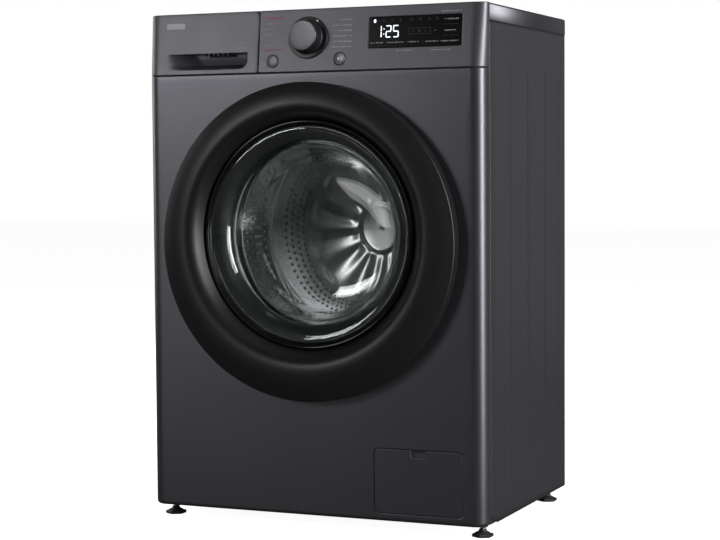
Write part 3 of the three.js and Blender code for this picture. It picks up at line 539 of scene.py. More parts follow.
def plan(inset, flat_x, back=WRAP):
    """Plan of a front part from left rear to right rear, with the given places along its flat
    face."""
    left = np.concatenate([[[-HALF + inset, back]], plan_round(inset)[:-1]])
    face = np.stack([flat_x, np.full(len(flat_x), inset)], -1)
    return np.concatenate([left, face, left[::-1] * [-1, 1]])


def roll(radius, steps=6):
    """Inset and rise of a rolled edge: radius (1 - cos a), radius sin a."""
    a = np.linspace(0, np.pi / 2, steps)
    return np.stack([radius * (1 - np.cos(a)), radius * np.sin(a)], -1)


def upright(x, z, depth):
    """Point on the upright front face."""
    return np.stack([x, depth, z], -1)


def front_panel():
    """Flat face with a dished round opening, a hatch opening and a latch slot; rounded vertical
    edges, rolled top and bottom edges."""
    surface = Surface()
    low, high = PANEL_BOTTOM + PANEL_ROLL_BOTTOM, PANEL_TOP - PANEL_ROLL_TOP
    across = ([-FLAT, -212, 98, 212, FLAT], [5, 26, 14, 12])
    up = ([low, 148, 272, 696, high], [20, 6, 40, 4])
    xs, zs = lines(*across), lines(*up)
    columns, rows = np.append(0, np.cumsum(across[1])), np.append(0, np.cumsum(up[1]))
    dish = spline([(0, 0), (-1.2, 0.25), (-3.2, 1.8), (-12.5, 13.2), (-15.5, 15.6), (-17.5, 16)],
                  4).tolist()
    dish_lip = dish + [(-20.2, 16.2), (-21, 17), (-21, 23)]
    centre = np.array([0, DRUM_Z])
    blocks_with_holes = [
        ((1, 3), (2, 3), round_hole(centre, DISH), dish_lip, centre),
        ((2, 4), (0, 1), cornered_hole(HATCH_LOW, HATCH_HIGH, 8), LIP, None),
        ((3, 4), (2, 3), cornered_hole(LATCH_LOW, LATCH_HIGH, 2), LIP, None),
    ]
    for (i0, i1), (j0, j1), hole, lip, middle in blocks_with_holes:
        x, z = xs[columns[i0]:columns[i1] + 1], zs[rows[j0]:rows[j1] + 1]
        holed_block(surface, x, z, hole, upright, lip, middle, 5)
    for (i0, i1), (j0, j1) in (((0, 2), (0, 1)), ((0, 4), (1, 2)), ((0, 1), (2, 3)),
                               ((0, 4), (3, 4))):
        gx, gz = np.meshgrid(xs[columns[i0]:columns[i1] + 1], zs[rows[j0]:rows[j1] + 1])
        surface.grid(upright(gx, gz, 0 * gx))
    side = np.concatenate([[[-HALF, WRAP]], plan_round(0)])
    for sign in (-1, 1):
        wall = np.stack([-sign * side[:, 0], side[:, 1]], -1)
        points = np.concatenate([np.broadcast_to(wall[None], (len(zs), *wall.shape)),
                                 np.broadcast_to(zs[:, None, None], (len(zs), len(wall), 1))], -1)
        surface.grid(points)
    for radius, start, sense in ((PANEL_ROLL_TOP, high, 1), (PANEL_ROLL_BOTTOM, low, -1)):
        path = np.concatenate([roll(radius), [[radius + 7, radius]]])
        strip = [np.column_stack([plan(inset, xs), np.full(len(xs) + 18, start + sense * rise)])
                 for inset, rise in path]
        surface.grid(np.array(strip))
    return surface.build("front_panel_skin", PAINT, "cabinet", "grey_paint", ["front_panel"],
                         (0, -1, 0), SHEET)


front_panel()


# ---- side panels ----
RIBS = [125.0, 216.0, 307.0, 382.0]
RIB_DEPTH = [0.9, 0.9, 0.9, 0.6]
RIB_HALF = 6.5
RIB_ENDS = (72.0, 757.0)
SIDE_BACK, FLANGE, BEND = 427.0, 14.0, 1.3
SEAM_GAP = 0.4


def side_panel(sign, word):
    """Sheet with shallow pressed ribs: depth = sum of D cos^2(pi (y - rib) / 2w), faded at both
    ends of a rib. Flanges turn in at the front and back, and the front one turns forward behind the
    seam; a relief notch is left at the lower front corner."""
    front, back, low, high = WRAP + SEAM_GAP, SIDE_BACK, PANEL_BOTTOM, COVER_LOW[2] - SEAM_GAP
    inner = HALF - FLANGE
    bend = roll(BEND, 4)
    flange_front = np.stack([HALF - bend[::-1][:, 0], front + BEND - bend[::-1][:, 1]], -1)
    starts = [front + BEND] + [rib + RIB_HALF for rib in RIBS[:-1]]
    between = [np.linspace(start, rib - RIB_HALF, 3 if i == 0 else 4, endpoint=False)
               for i, (start, rib) in enumerate(zip(starts, RIBS))]
    across_ribs = [rib + np.linspace(-RIB_HALF, RIB_HALF, 12, endpoint=False) for rib in RIBS]
    behind = [np.linspace(RIBS[-1] + RIB_HALF, back - BEND, 4)]
    places = np.unique(np.concatenate(between + across_ribs + behind))
    flat = np.stack([np.full(len(places), HALF), places], -1)
    flange_back = np.stack([HALF - bend[:, 0], back - BEND + bend[:, 1]], -1)
    path = np.concatenate([[[inner, front - 8], [inner, front]], flange_front, flat, flange_back,
                           [[inner, back]]])
    bottom = low + 8.5 * (1 - smooth((path[:, 1] - 38.5) / 1.5))
    share = lines([0, 0.05, 0.09, 0.9, 0.95, 1], [3, 8, 12, 8, 3])
    z = bottom[None] + (high - bottom)[None] * share[:, None]
    x, y = np.broadcast_to(path[:, 0], z.shape).copy(), np.broadcast_to(path[:, 1], z.shape)
    fade = smooth((z - RIB_ENDS[0]) / 14) * smooth((RIB_ENDS[1] - z) / 14)
    for rib, depth in zip(RIBS, RIB_DEPTH):
        across = np.clip(np.abs(y - rib) / RIB_HALF, 0, 1)
        x -= depth * np.cos(across * np.pi / 2) ** 2 * fade
    surface = Surface().grid(np.stack([sign * x, y, z], -1))
    return surface.build(f"{word}_side_skin", PAINT, "cabinet", "grey_paint",
                         [f"{word}_side_panel"],
                         (sign, 0, 0), SHEET, sharp=50)


side_panel(-1, "left")
side_panel(1, "right")


# ---- top cover ----
def cover_outline(inset, corner=14.0, steps=8):
    """Plan of the lid: square at the front, rounded at the two rear corners."""
    low = np.array([-HALF + inset, COVER_LOW[1] + min(inset, 1.0)])
    high = np.array([HALF - inset, COVER_HIGH[1] - inset])
    radius = corner - min(inset, corner - 1)
    a = np.linspace(0, np.pi / 2, steps)
    right = np.stack([high[0] - radius + radius * np.cos(a), high[1] - radius + radius * np.sin(a)],
                     -1)
    left = np.stack([low[0] + radius - radius * np.sin(a), high[1] - radius + radius * np.cos(a)],
                    -1)
    middle = np.stack([np.linspace(right[-1][0], left[0][0], 12)[1:-1], np.full(10, high[1])], -1)
    return np.concatenate([[[high[0], low[1]]], right, middle, left, [[low[0], low[1]]]])


def top_cover():
    """Lid: upright rim, rolled top edge, then a border step down to a very slightly lower field."""
    rows = [(2.0, COVER_LOW[2] + 0.6), (1.0, COVER_LOW[2]), (0.3, COVER_LOW[2] + 0.3),
            (0.0, COVER_LOW[2] + 1.0)]
    rows += [(inset, TOP - 4.0 + rise) for inset, rise in roll(4.0, 7)]
    rows += [(22, TOP), (23, TOP - 0.1), (25, TOP - 0.6), (27, TOP - 0.9), (60, TOP - 0.9),
             (120, TOP - 0.9)]
    outlines = []
    for inset, z in rows:
        outline = cover_outline(inset)
        outlines.append(np.column_stack([outline, np.full(len(outline), z)]))
    surface = Surface().grid(np.array(outlines)).cap(outlines[-1])
    return surface.build("top_cover_skin", PAINT, "cabinet", "grey_paint", ["top_cover"], (0, 0, 1),
                         1.5)


top_cover()


# ---- control panel and drawer front ----
CONSOLE_LEFT = mm_box("console_panel")[0][0]
DRAWER_RIGHT = mm_box("drawer_front")[1][0]
CONSOLE_ROLL = 1.6


def leaning(points):
    """Leans a front part back: y + LEAN h (1 - y / WRAP), with h the share of the height above the
    seam."""
    points = np.array(points, float)
    share = (points[..., 2] - SEAM) / (TOP - SEAM)
    points[..., 1] += LEAN * share * (1 - points[..., 1] / WRAP)
    return points


def wrapped_front(surface, flat_x, zs, side):
    """Rounded edge, short return and rolled top and bottom of a leaning front part; side is -1 or
    1. The top runs back to the lid, and the other end has a rolled edge that turns back into the
    gap."""
    turned_edge = np.concatenate([[[-HALF, WRAP]], plan_round(0)]) * [-side, 1]
    corner = np.concatenate([np.broadcast_to(turned_edge[None], (len(zs), *turned_edge.shape)),
                             np.broadcast_to(zs[:, None, None], (len(zs), len(turned_edge), 1))],
                            -1)
    surface.grid(leaning(corner))
    end = flat_x[0] if side > 0 else flat_x[-1]
    for start, sense in ((zs[-1], 1), (zs[0], -1)):
        rows = []
        for inset, rise in np.concatenate([roll(CONSOLE_ROLL), [[15, CONSOLE_ROLL]]]):
            corner = np.concatenate([[[-HALF + inset, WRAP]],
                                     plan_round(min(inset, EDGE - 1))]) * [-side, 1]
            face = np.stack([flat_x, np.full(len(flat_x), inset)], -1)
            line = np.concatenate([face, corner[::-1]] if side > 0 else [corner, face])
            rows.append(np.column_stack([line, np.full(len(line), start + sense * rise)]))
        surface.grid(leaning(np.array(rows)))
        if sense > 0:
            edge = rows[-1][:-1] if side > 0 else rows[-1][1:]
            shelf = edge.copy()
            shelf[:, 1] = COVER_LOW[1] - 0.5
            surface.grid(leaning(np.array([edge, shelf])))
    inset, depth = roll(CONSOLE_ROLL).T
    profile = np.concatenate([np.stack([end - side * depth, inset], -1),
                              [[end - side * CONSOLE_ROLL, 26]]])
    wall = np.concatenate([np.broadcast_to(profile[None], (len(zs), *profile.shape)),
                           np.broadcast_to(zs[:, None, None], (len(zs), len(profile), 1))], -1)
    surface.grid(leaning(wall))


FACE_LOW, FACE_HIGH = SEAM + CONSOLE_ROLL, TOP - CONSOLE_ROLL
POWER_PLACE, START_PLACE, KNOB_PLACE = (-65.5, 766.6), (54.5, 767.3), (-3.4, 803.0)
DISPLAY_LOW, DISPLAY_HIGH = np.array([104, 782.0]), np.array([262, 832.5])
BUTTON_HOLE = 10.2


def on_face(x, z, out=0.0):
    """Point on the leaning face at (x, z), moved out from it by a distance: y = LEAN h - out
    cos(lean), z + out sin(lean), with h the share of the height above the seam."""
    x, z = np.broadcast_arrays(np.asarray(x, float), np.asarray(z, float))
    share = (z - SEAM) / (TOP - SEAM)
    return np.stack([x, LEAN * share - out * math.cos(LEAN_ANGLE), z + out * math.sin(LEAN_ANGLE)],
                    -1)


def face_shape(x, z, depth):
    """Point behind the leaning face by a depth."""
    return on_face(x, z, -depth)


def console():
    """Leaning control panel with openings for the display and the two buttons."""
    surface = Surface()
    across = ([CONSOLE_LEFT + CONSOLE_ROLL, -80, -51, 40, 69, 96, 270, FLAT],
              [3, 14, 8, 14, 3, 26, 2])
    up = ([FACE_LOW, 752, 780, 838, FACE_HIGH], [2, 14, 16, 3])
    holes = {
        (1, 1): round_hole(POWER_PLACE, BUTTON_HOLE), (3, 1): round_hole(START_PLACE, BUTTON_HOLE),
        (5, 2): cornered_hole(DISPLAY_LOW, DISPLAY_HIGH, 1.5),
    }
    xs, zs = holed_panel(surface, across, up, holes, face_shape, LIP)
    wrapped_front(surface, xs, zs, 1)
    return surface.build("console_skin", MOULDING, "cabinet", "grey_moulding", ["console_panel"],
                         (0, -1, 0), 1.6,
                         weld=4e-6)


console()

RECESS_X = (-271.0, -112.0)
RECESS_Z = (754.5, 783.0)
RECESS_DEPTH = 18.0


def recess_depth(x, z):
    """Depth of the finger scoop over shares u across and v up: 18 mm times a ramp from the left, a
    rounded wall at the right, and a rise from the bottom with a round lower right corner; deepest
    under the upper edge."""
    u = (x - RECESS_X[0]) / (RECESS_X[1] - RECESS_X[0])
    v = (z - RECESS_Z[0]) / (RECESS_Z[1] - RECESS_Z[0])
    left = smooth((u - 0.02) / (0.34 + 0.16 * (1 - v))) ** 1.3
    right = np.sqrt(np.clip(1 - (np.clip((u - 0.94) / 0.06, 0, 1)) ** 2, 0, 1))
    corner = 0.56 * (1 - np.sqrt(1 - np.clip((u - 0.9) / 0.1, 0, 1) ** 2))
    rise = smooth((v - 0.03 - corner) / 0.34) * 0.72 + 0.28 * smooth((v - 0.03 - corner) / 0.95)
    return RECESS_DEPTH * left * right * np.clip(rise, 0, 1)


def drawer_front():
    """Leaning drawer front with a scooped finger recess under a straight upper edge."""
    surface = Surface()
    xs = np.unique(np.concatenate([np.linspace(-FLAT, RECESS_X[0], 3), np.linspace(*RECESS_X, 110),
                                   np.linspace(RECESS_X[1], DRAWER_RIGHT - CONSOLE_ROLL, 5)]))
    z_low = np.unique(np.concatenate([np.linspace(FACE_LOW, RECESS_Z[0], 3),
                                      np.linspace(*RECESS_Z, 44)]))
    z_high = np.linspace(RECESS_Z[1], FACE_HIGH, 12)
    inside = (xs >= RECESS_X[0]) & (xs <= RECESS_X[1])
    gx, gz = np.meshgrid(xs, z_low)
    surface.grid(face_shape(gx, gz,
                            np.where((gx > RECESS_X[0]) & (gx < RECESS_X[1]), recess_depth(gx, gz),
                                     0)))
    gx, gz = np.meshgrid(xs, z_high)
    surface.grid(face_shape(gx, gz, 0 * gx))
    edge_x = xs[inside]
    deep = recess_depth(edge_x, RECESS_Z[1]) * np.linspace(0, 1, 6)[:, None]
    surface.grid(face_shape(edge_x + 0 * deep, RECESS_Z[1] + 0 * deep, deep))
    wrapped_front(surface, xs, np.concatenate([z_low, z_high[1:]]), -1)
    return surface.build("drawer_front_skin", MOULDING, "drawer", "grey_moulding", ["drawer_front"],
                         (0, -1, 0), 1.4,
                         weld=4e-6)


drawer_front()


# ---- small solids ----
FINE_WELD = 1e-8                 # keeps thin printed layers apart


def blocks(surface, low, high, shape=None):
    """Many boxes at once from arrays of low and high corners; shape bends their corners into
    place."""
    low, high = np.atleast_2d(low).astype(float), np.atleast_2d(high).astype(float)
    picks = np.array([[0, 0, 0], [1, 0, 0], [1, 1, 0], [0, 1, 0], [0, 0, 1], [1, 0, 1], [1, 1, 1],
                      [0, 1, 1]])
    corners = low[:, None] + (high - low)[:, None] * picks[None]
    points = corners.reshape(-1, 3)
    if shape:
        points = shape(points)
    sides = np.array([[0, 3, 2, 1], [4, 5, 6, 7], [0, 1, 5, 4], [1, 2, 6, 5], [2, 3, 7, 6],
                      [3, 0, 4, 7]])
    faces = (sides[None] + 8 * np.arange(len(low))[:, None, None]).reshape(-1, 4) + surface.count
    return surface.add(points, faces.tolist())


def from_face(points):
    """Corners given as (x, out, z) moved onto the leaning face."""
    return on_face(points[:, 0], points[:, 2], points[:, 1])


def marks(name, rectangles, finish, body="cabinet", out=0.06, thick=0.06):
    """Printed marks as a thin layer on the leaning face, from rows of (x0, z0, x1, z1)."""
    r = np.asarray(rectangles, float)
    low = np.stack([r[:, 0], np.full(len(r), out), r[:, 1]], -1)
    high = np.stack([r[:, 2], np.full(len(r), out + thick), r[:, 3]], -1)
    return blocks(Surface(), low, high, from_face).build(name, finish, body, weld=FINE_WELD)


def letters(x0, x1, z, height, seed):
    """A word of made-up strokes between x0 and x1: narrow bars of three heights with even gaps."""
    rng = np.random.default_rng(seed)
    pitch = height * 0.62
    count = max(2, int((x1 - x0) / pitch))
    starts = x0 + np.arange(count) * (x1 - x0) / count
    width = pitch * rng.choice([0.42, 0.58, 0.7], count)
    low = z - height / 2 * rng.choice([0.62, 0.62, 1.0], count)
    high = z + height / 2 * rng.choice([0.62, 0.62, 1.0], count)
    keep = rng.random(count) > 0.1
    return np.stack([starts, low, starts + width, high], -1)[keep]


PROGRAM_ROWS = np.linspace(836.6, 784.8, 7)
PROGRAM_ROWS_RIGHT = np.linspace(830.1, 786.4, 6)
LEFT_WORDS = [32, 23, 19, 22, 29, 26, 31]
RIGHT_WORDS = [22, 34, 25, 31, 33, 37]
WORDS_LEFT, WORDS_RIGHT = -81.0, 74.0
KNOB_SKIRT = 34.5


def ring_reach(z, extra):
    """Distance from the knob's axis to a circle a little outside its skirt, at height z."""
    return math.sqrt(max((KNOB_SKIRT + extra) ** 2 - (z - KNOB_PLACE[1]) ** 2, 12.0 ** 2))


def leader(x0, x1, z):
    """Thin line between a word and the knob."""
    return [[x0, z - 0.22, x1, z + 0.22]]


def panel_print():
    """Programme words either side of the knob with thin leader lines, and the small words round the
    display."""
    pale, red, dim = [], [], []
    for i, (z, width) in enumerate(zip(PROGRAM_ROWS, LEFT_WORDS)):
        special = i in (0, len(LEFT_WORDS) - 1)
        (red if special
         else pale).append(letters(WORDS_LEFT, WORDS_LEFT + width, z, 3.4 if special else 2.8,
                                   10 + i))
        dim.append(leader(WORDS_LEFT + width + 3, KNOB_PLACE[0] - ring_reach(z, 2.5), z))
    for i, (z, width) in enumerate(zip(PROGRAM_ROWS_RIGHT, RIGHT_WORDS)):
        pale.append(letters(WORDS_RIGHT - width, WORDS_RIGHT, z, 2.3, 30 + i))
        start, stop = KNOB_PLACE[0] + ring_reach(z, 2.5), WORDS_RIGHT - width - 3
        if stop > start:
            dim.append(leader(start, stop, z))
    small = [(227, 261, 837.2, 1.8), (152, 180.6, 777.3, 1.6), (210.5, 244, 776.7, 1.6)]
    pale += [letters(*word, 50 + i) for i, word in enumerate(small)]
    x0, x1, z0, z1 = -88.0, -80.0, 757.5, 764.0
    pale += [[[x0, z, x1, z + 0.5]] for z in (z0, z0 + 3, z0 + 6)]
    pale += [[[x0, z0, x0 + 0.5, z1]], [[x1 - 0.5, z0, x1, z1]]]
    marks("pale_words", np.concatenate(pale), PRINT)
    marks("red_words", np.concatenate(red), RED_PRINT)
    marks("leader_lines", np.concatenate(dim), LINE_PRINT)
    marks("capacity_words", letters(-131, -113.5, 790, 3.0, 60), PRINT, "drawer")


panel_print()


def badge():
    """Small blank nameplate with a raised rim."""
    low, high = (-266.0, 824.5), (-230.0, 834.5)
    outline = border(np.linspace(low[0], high[0], 13), np.linspace(low[1], high[1], 13))
    outline = cornered(outline, low, high, 3.2)
    middle = outline.mean(0)
    away = (outline - middle) / np.linalg.norm(outline - middle, axis=1, keepdims=True)
    rows = []
    for shrink, out in ((0, 0.02), (0, 0.45), (0.25, 0.6), (0.75, 0.6), (1.0, 0.42)):
        line = outline - away * shrink
        rows.append(on_face(line[:, 0], line[:, 1], out))
    surface = Surface().closed(np.array(rows))
    return surface.build("nameplate", BADGE, "drawer", weld=FINE_WELD, sharp=12)


badge()


def recess_teeth():
    """Short teeth under the upper edge of the finger recess."""
    x = np.linspace(-196, -152, 6)
    low = np.stack([x, -11.0 + 0 * x, RECESS_Z[1] - 3.2 + 0 * x], -1)
    high = np.stack([x + 4.2, -2.0 + 0 * x, RECESS_Z[1] - 0.05 + 0 * x], -1)
    return blocks(Surface(), low, high, from_face).build("recess_teeth", BLACK_PLASTIC, "drawer",
                                                         bevel=0.6)


recess_teeth()


# ---- display ----


def display():
    """Gloss window set flush in the panel, with lit digits, faint symbols and a framed progress
    bar."""
    surface = Surface()
    gx, gz = np.meshgrid(lines([DISPLAY_LOW[0] + 0.4, DISPLAY_HIGH[0] - 0.4], [24]),
                         lines([DISPLAY_LOW[1] + 0.4, DISPLAY_HIGH[1] - 0.4], [12]))
    crown = 0.12 * np.cos((gx - 183) / 160 * np.pi) * np.cos((gz - 807) / 52 * np.pi)
    surface.grid(on_face(gx, gz, -0.2 + crown))
    surface.build("display_glass", DISPLAY_BLACK, "cabinet", "black_gloss", ["display_window"],
                  (0, -1, 0), 3.0)
    layer = dict(out=-0.02, thick=0.05)
    stroke, height, base = 1.5, 19.4, 798.6      # of the digits

    def segments(x, width, which):
        """Seven-segment digit: top, upper right, lower right, bottom, lower left, upper left,
        middle."""
        half = height / 2
        bars = [
            (x + 1, base + height - stroke, x + width - 1, base + height),
            (x + width - stroke, base + half + 0.7, x + width, base + height - 1),
            (x + width - stroke, base + 1, x + width, base + half - 0.7),
            (x + 1, base, x + width - 1, base + stroke),
            (x, base + 1, x + stroke, base + half - 0.7),
            (x, base + half + 0.7, x + stroke, base + height - 1),
            (x + 1, base + half - stroke / 2, x + width - 1, base + half + stroke / 2),
        ]
        return [bars[i] for i in which]

    lit = segments(116.5, 9.2, (1, 2)) + segments(132.7, 9.6, (0, 1, 6, 4, 3)) + segments(145.2,
                                                                                          9.8, (0,
                                                                                                5, 6, 2, 3))
    lit += [(128.9, 803.6, 130.4, 805.2), (128.9, 811.6, 130.4, 813.2),
            (111.8, 823.6, 115.4, 827.4),
            (112.6, 822.9, 114.6, 828.2)]
    marks("lit_digits", lit, GLOW, **layer)
    words = [(106.4, 129, 790.6, 2.0), (136, 164, 790.6, 2.0), (171, 190, 790.6, 2.0),
             (199.8, 223.7, 790.4, 2.0),
             (227, 257, 790.2, 2.0), (232, 256, 824.8, 2.1), (233, 252, 807, 2.1)]
    marks("display_words", np.concatenate([letters(*word, 70 + i) for i, word in enumerate(words)]),
          PRINT, **layer)
    faint = [(229.7, 816.4, 256, 816.7), (229.7, 798.8, 256, 799.1), (133.8, 788, 134.1, 793),
             (196.1, 788, 196.4, 793),
             (171, 802.7, 209.3, 803.1), (171, 811.7, 209.3, 812.1), (171, 802.7, 171.4, 812.1),
             (208.9, 802.7, 209.3, 812.1), (188.5, 806.3, 191.2, 808.9), (178, 807, 180, 808.2),
             (199, 807, 201, 808.2),
             (215, 806.8, 219, 808.4)]
    for x in (129, 143.5, 157.9, 176.5, 191.4, 206.9, 220):
        faint += [(x - 1.5, 824.2, x + 1.5, 824.7), (x - 1.5, 827.0, x + 1.5, 827.5),
                  (x - 1.5, 824.2, x - 1.0, 827.5),
                  (x + 1.0, 824.2, x + 1.5, 827.5)]
    marks("faint_symbols", faint, DIM_PRINT, **layer)


display()


# ---- knob and buttons ----
def face_lathe(profile, centre, steps=96):
    """Profile of (r, out) turned about the leaning face's normal through a place on it:
    base + r sin a across + r cos a along + out outward."""
    profile = np.asarray(profile, float)
    a = turn(steps)[None, :]
    r, out = profile[:, :1], profile[:, 1:2] + 0 * a
    across = np.array([1.0, 0, 0])
    along = np.array([0, math.sin(LEAN_ANGLE), math.cos(LEAN_ANGLE)])
    outward = np.array([0, -math.cos(LEAN_ANGLE), math.sin(LEAN_ANGLE)])
    return (on_face(*centre) + (r * np.sin(a))[..., None] * across + (r * np.cos(a))[..., None]
            * along
            + out[..., None] * outward)


def knob():
    """Flat gloss skirt, plain cone and a dished grey cap on a spindle; a pointer dot sits on the
    skirt."""
    body = spline([(29.5, 0.4), (KNOB_SKIRT - 0.2, 0.4), (KNOB_SKIRT, 0.9), (KNOB_SKIRT - 0.1, 2.4),
                   (KNOB_SKIRT - 0.9, 3.0), (30, 3.25), (27.6, 3.6), (26.4, 5.2), (26.0, 9),
                   (25.4, 15), (24.8, 20.4),
                   (24.4, 22.2), (23.9, 22.9)], 5)
    cap = spline([(24.0, 22.2), (24.1, 23.1), (23.7, 23.75), (23.0, 24.0), (20, 23.7), (12, 23.4),
                  (3, 23.3)], 4)
    spindle = [(3.8, 0.4), (3.8, -12), (3.2, -13.5), (0.8, -13.8)]
    dot = [(1.5, 3.1), (1.5, 3.45), (1.1, 3.6), (0.2, 3.62)]
    Surface().closed(face_lathe(body, KNOB_PLACE, 144)).build("knob_body", KNOB_BLACK, "knob",
                                                              "black_satin",
                                                              ["program_knob"])
    for name, profile, place, steps, finish in (
            ("knob_cap", cap, KNOB_PLACE, 144, CAP_GREY),
            ("knob_spindle", spindle, KNOB_PLACE, 24, BLACK_PLASTIC),
            ("knob_dot", dot, (13.6, 829.3), 20, DOT_WHITE)):
        Surface().closed(face_lathe(profile, place, steps)).build(name, finish, "knob")


knob()


def button(place, word, node, body):
    """Round key with a shallow dish, a rolled rim and a dark surround."""
    profile = [(9.8, -5), (9.8, 0.1), (9.55, 0.6), (9.0, 0.95), (8.3, 1.0), (7.6, 0.8), (5, 0.55),
               (1, 0.5)]
    Surface().closed(face_lathe(profile, place, 72)).build(f"{word}_key_top", BUTTON_GREY, body,
                                                           "grey_moulding",
                                                           [node])
    ring = face_lathe([(10.15, -2.5), (10.15, -0.15), (11.0, 0.05), (11.3, 0.02), (11.3, -0.3)],
                      place, 72)
    Surface().grid(ring, wrap=True).build(f"{word}_key_surround", BLACK_PLASTIC, "cabinet",
                                          facing=(0, -1, 0),
                                          wall=0.12)


button(POWER_PLACE, "power", "power_button", "power_key")
button(START_PLACE, "start", "start_button", "start_key")


def arc_strip(centre, radius, width, start, stop, steps=28):
    """Flat printed arc on the face: rows at radius -+ width / 2, thin layer above the key."""
    a = np.radians(np.linspace(start, stop, steps))
    inner, outer = radius - width / 2, radius + width / 2
    return np.array([on_face(centre[0] + r * np.sin(a), centre[1] + r * np.cos(a), out)
                     for r, out in ((inner, 0.6), (inner, 0.78), (outer, 0.78), (outer, 0.6))])


def icons():
    """Power sign on one key, play and pause signs on the other."""
    surface = Surface().grid(arc_strip(POWER_PLACE, 3.1, 0.55, 35, 325))
    x, z = POWER_PLACE
    blocks(surface, [x - 0.28, 0.6, z + 1.2], [x + 0.28, 0.78, z + 4.2], from_face)
    surface.build("power_sign", PRINT, "power_key", weld=FINE_WELD)
    x, z = START_PLACE
    surface = Surface()
    for left in (1.3, 2.9):
        blocks(surface, [x + left, 0.6, z - 2.6], [x + left + 0.8, 0.85, z + 2.6], from_face)
    height = np.array([-2.7, 2.7])
    left = on_face(x - 3.4 + 0 * height, z + height, 0.85)
    tip = on_face(x + 0.4 + 0 * height, z + 0.02 * height, 0.85)
    surface.grid(np.array([left, tip]))
    surface.build("start_sign", LIT_PRINT, "start_key", facing=(0, -1, 0), weld=FINE_WELD)


icons()


# ---- door ----
RING_OUT, RING_IN = 259.0, 187.5
HINGE_RELIEF = 90.0              # half the height of the flat that clears the hinge


def ring_rise(r):
    """Height of each circle of the door ring above the drum's axis: the inner lip is centred on the
    drum, the rim sits lower."""
    return (DOOR_Z - DRUM_Z) * (1 - np.clip((RING_OUT - r) / (RING_OUT - RING_IN), 0, 1))


def door_ring():
    """Wide satin ring: upright side wall, fine bevel, gentle outer slope to a crest, then an inner
    slope that falls into a dark trough at the glass."""
    outer = spline([(258.8, -2.6), (259, -6), (259, -20), (258.9, -22.4), (258.2, -23.6),
                    (256.8, -24.5), (247, -28.4),
                    (236, -32.0), (224, -34.4), (214, -34.9), (206, -32.8), (200, -28.2),
                    (195, -21.5), (190.4, -13.4),
                    (187.8, -8.2), (187.5, -5.5)], 5)
    inner = spline([(189.5, -5.2), (192.5, -10), (198, -20), (205, -29), (214, -32), (236, -29),
                    (255.2, -22),
                    (256.6, -20), (256.8, -2.6)], 4)
    profile = np.concatenate([outer, inner])
    points = lathe(np.concatenate([profile, profile[:1]]), DRUM_Z, ROUND, ring_rise)
    x, y, z = points[..., 0], points[..., 1], points[..., 2]
    relief = (x < -229) & (np.abs(z - DOOR_Z) < HINGE_RELIEF)
    flush = smooth((HINGE_RELIEF - np.abs(z - DOOR_Z)) / 6)
    points[..., 1] = np.where(relief & (y > -17), y + (-17 - y) * flush, y)
    return Surface().grid(points, wrap=True).build("door_ring_skin", SATIN, "door", "black_satin",
                                                   ["door_ring"],
                                                   sharp=32)


door_ring()


def door_trim():
    """Gloss bead in the trough between the ring and the glass."""
    profile = spline([(187.2, -4.6), (187.0, -9.2), (185.6, -12.2), (183.4, -13.0), (181.2, -11.6),
                      (179.4, -8.4),
                      (178.0, -6.2), (177.2, -3.6), (181, -2.4), (187.2, -3.0), (187.2, -4.6)], 6)
    return Surface().grid(lathe(profile, DRUM_Z), wrap=True).build("door_trim", GLOSS, "door",
                                                                   "black_gloss")


door_trim()


def door_glass():
    """Pressed bowl: thick bevelled rim, sloping shoulder, deep dome. Outer and inner faces are two
    offset curves, the wall 6 mm at the rim and 4 mm in the dome."""
    front = spline([(171.6, -13.2), (168, -12.4), (160, -7.0), (152, 0.6), (146.2, 9), (142.0, 22),
                    (139.0, 42),
                    (134.6, 64), (127.2, 82), (113, 94), (88, 99.5), (50, 101.4), (0.01, 102)], 6)
    back = spline([(0.01, 106), (50, 105.4), (90, 103.6), (116, 98), (131.6, 85.2), (138.9, 66),
                   (143.4, 43),
                   (146.4, 23), (150.6, 11.6), (157, 2.6), (164.6, -3.8), (172.4, -6.8),
                   (175, -8.0), (175.3, -10.2),
                   (174.2, -12.6), (171.6, -13.2)], 6)
    return Surface().grid(lathe(np.concatenate([front, back[:-1], front[:1]]), DRUM_Z, 160),
                          wrap=True).build(
        "door_glass_bowl", GLASS, "door", "door_glass", ["door_glass"], sharp=70)


door_glass()


def glass_border():
    """Dark band behind the shoulder of the glass."""
    profile = spline([(177.0, -5.6), (173.0, -5.6), (165.6, -2.6), (158.2, 3.8), (152.0, 12.6),
                      (150.6, 16.4),
                      (151.6, 16.8), (153.4, 13.2), (159.2, 5.2), (166.4, -1.0), (173.2, -3.6),
                      (177.0, -4.0),
                      (177.0, -5.6)], 4)
    return Surface().grid(lathe(profile, DRUM_Z, 128), wrap=True).build("glass_border", DARK_BORDER,
                                                                        "door")


glass_border()


def ribbon(line, thickness):
    """Closed outline of a strip along a centre line in (r, y): p +- n thickness / 2, n square to
    the line."""
    line = np.asarray(line, float)
    along = np.gradient(line, axis=0)
    along /= np.linalg.norm(along, axis=1, keepdims=True)
    normal = np.stack([-along[:, 1], along[:, 0]], -1) * thickness / 2
    closed = np.concatenate([line + normal, (line - normal)[::-1]])
    return np.concatenate([closed, closed[:1]])


def join_bodies(piece):
    """Bakes a piece's placement into its mesh, so that the piece sits at the origin."""
    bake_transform(piece)


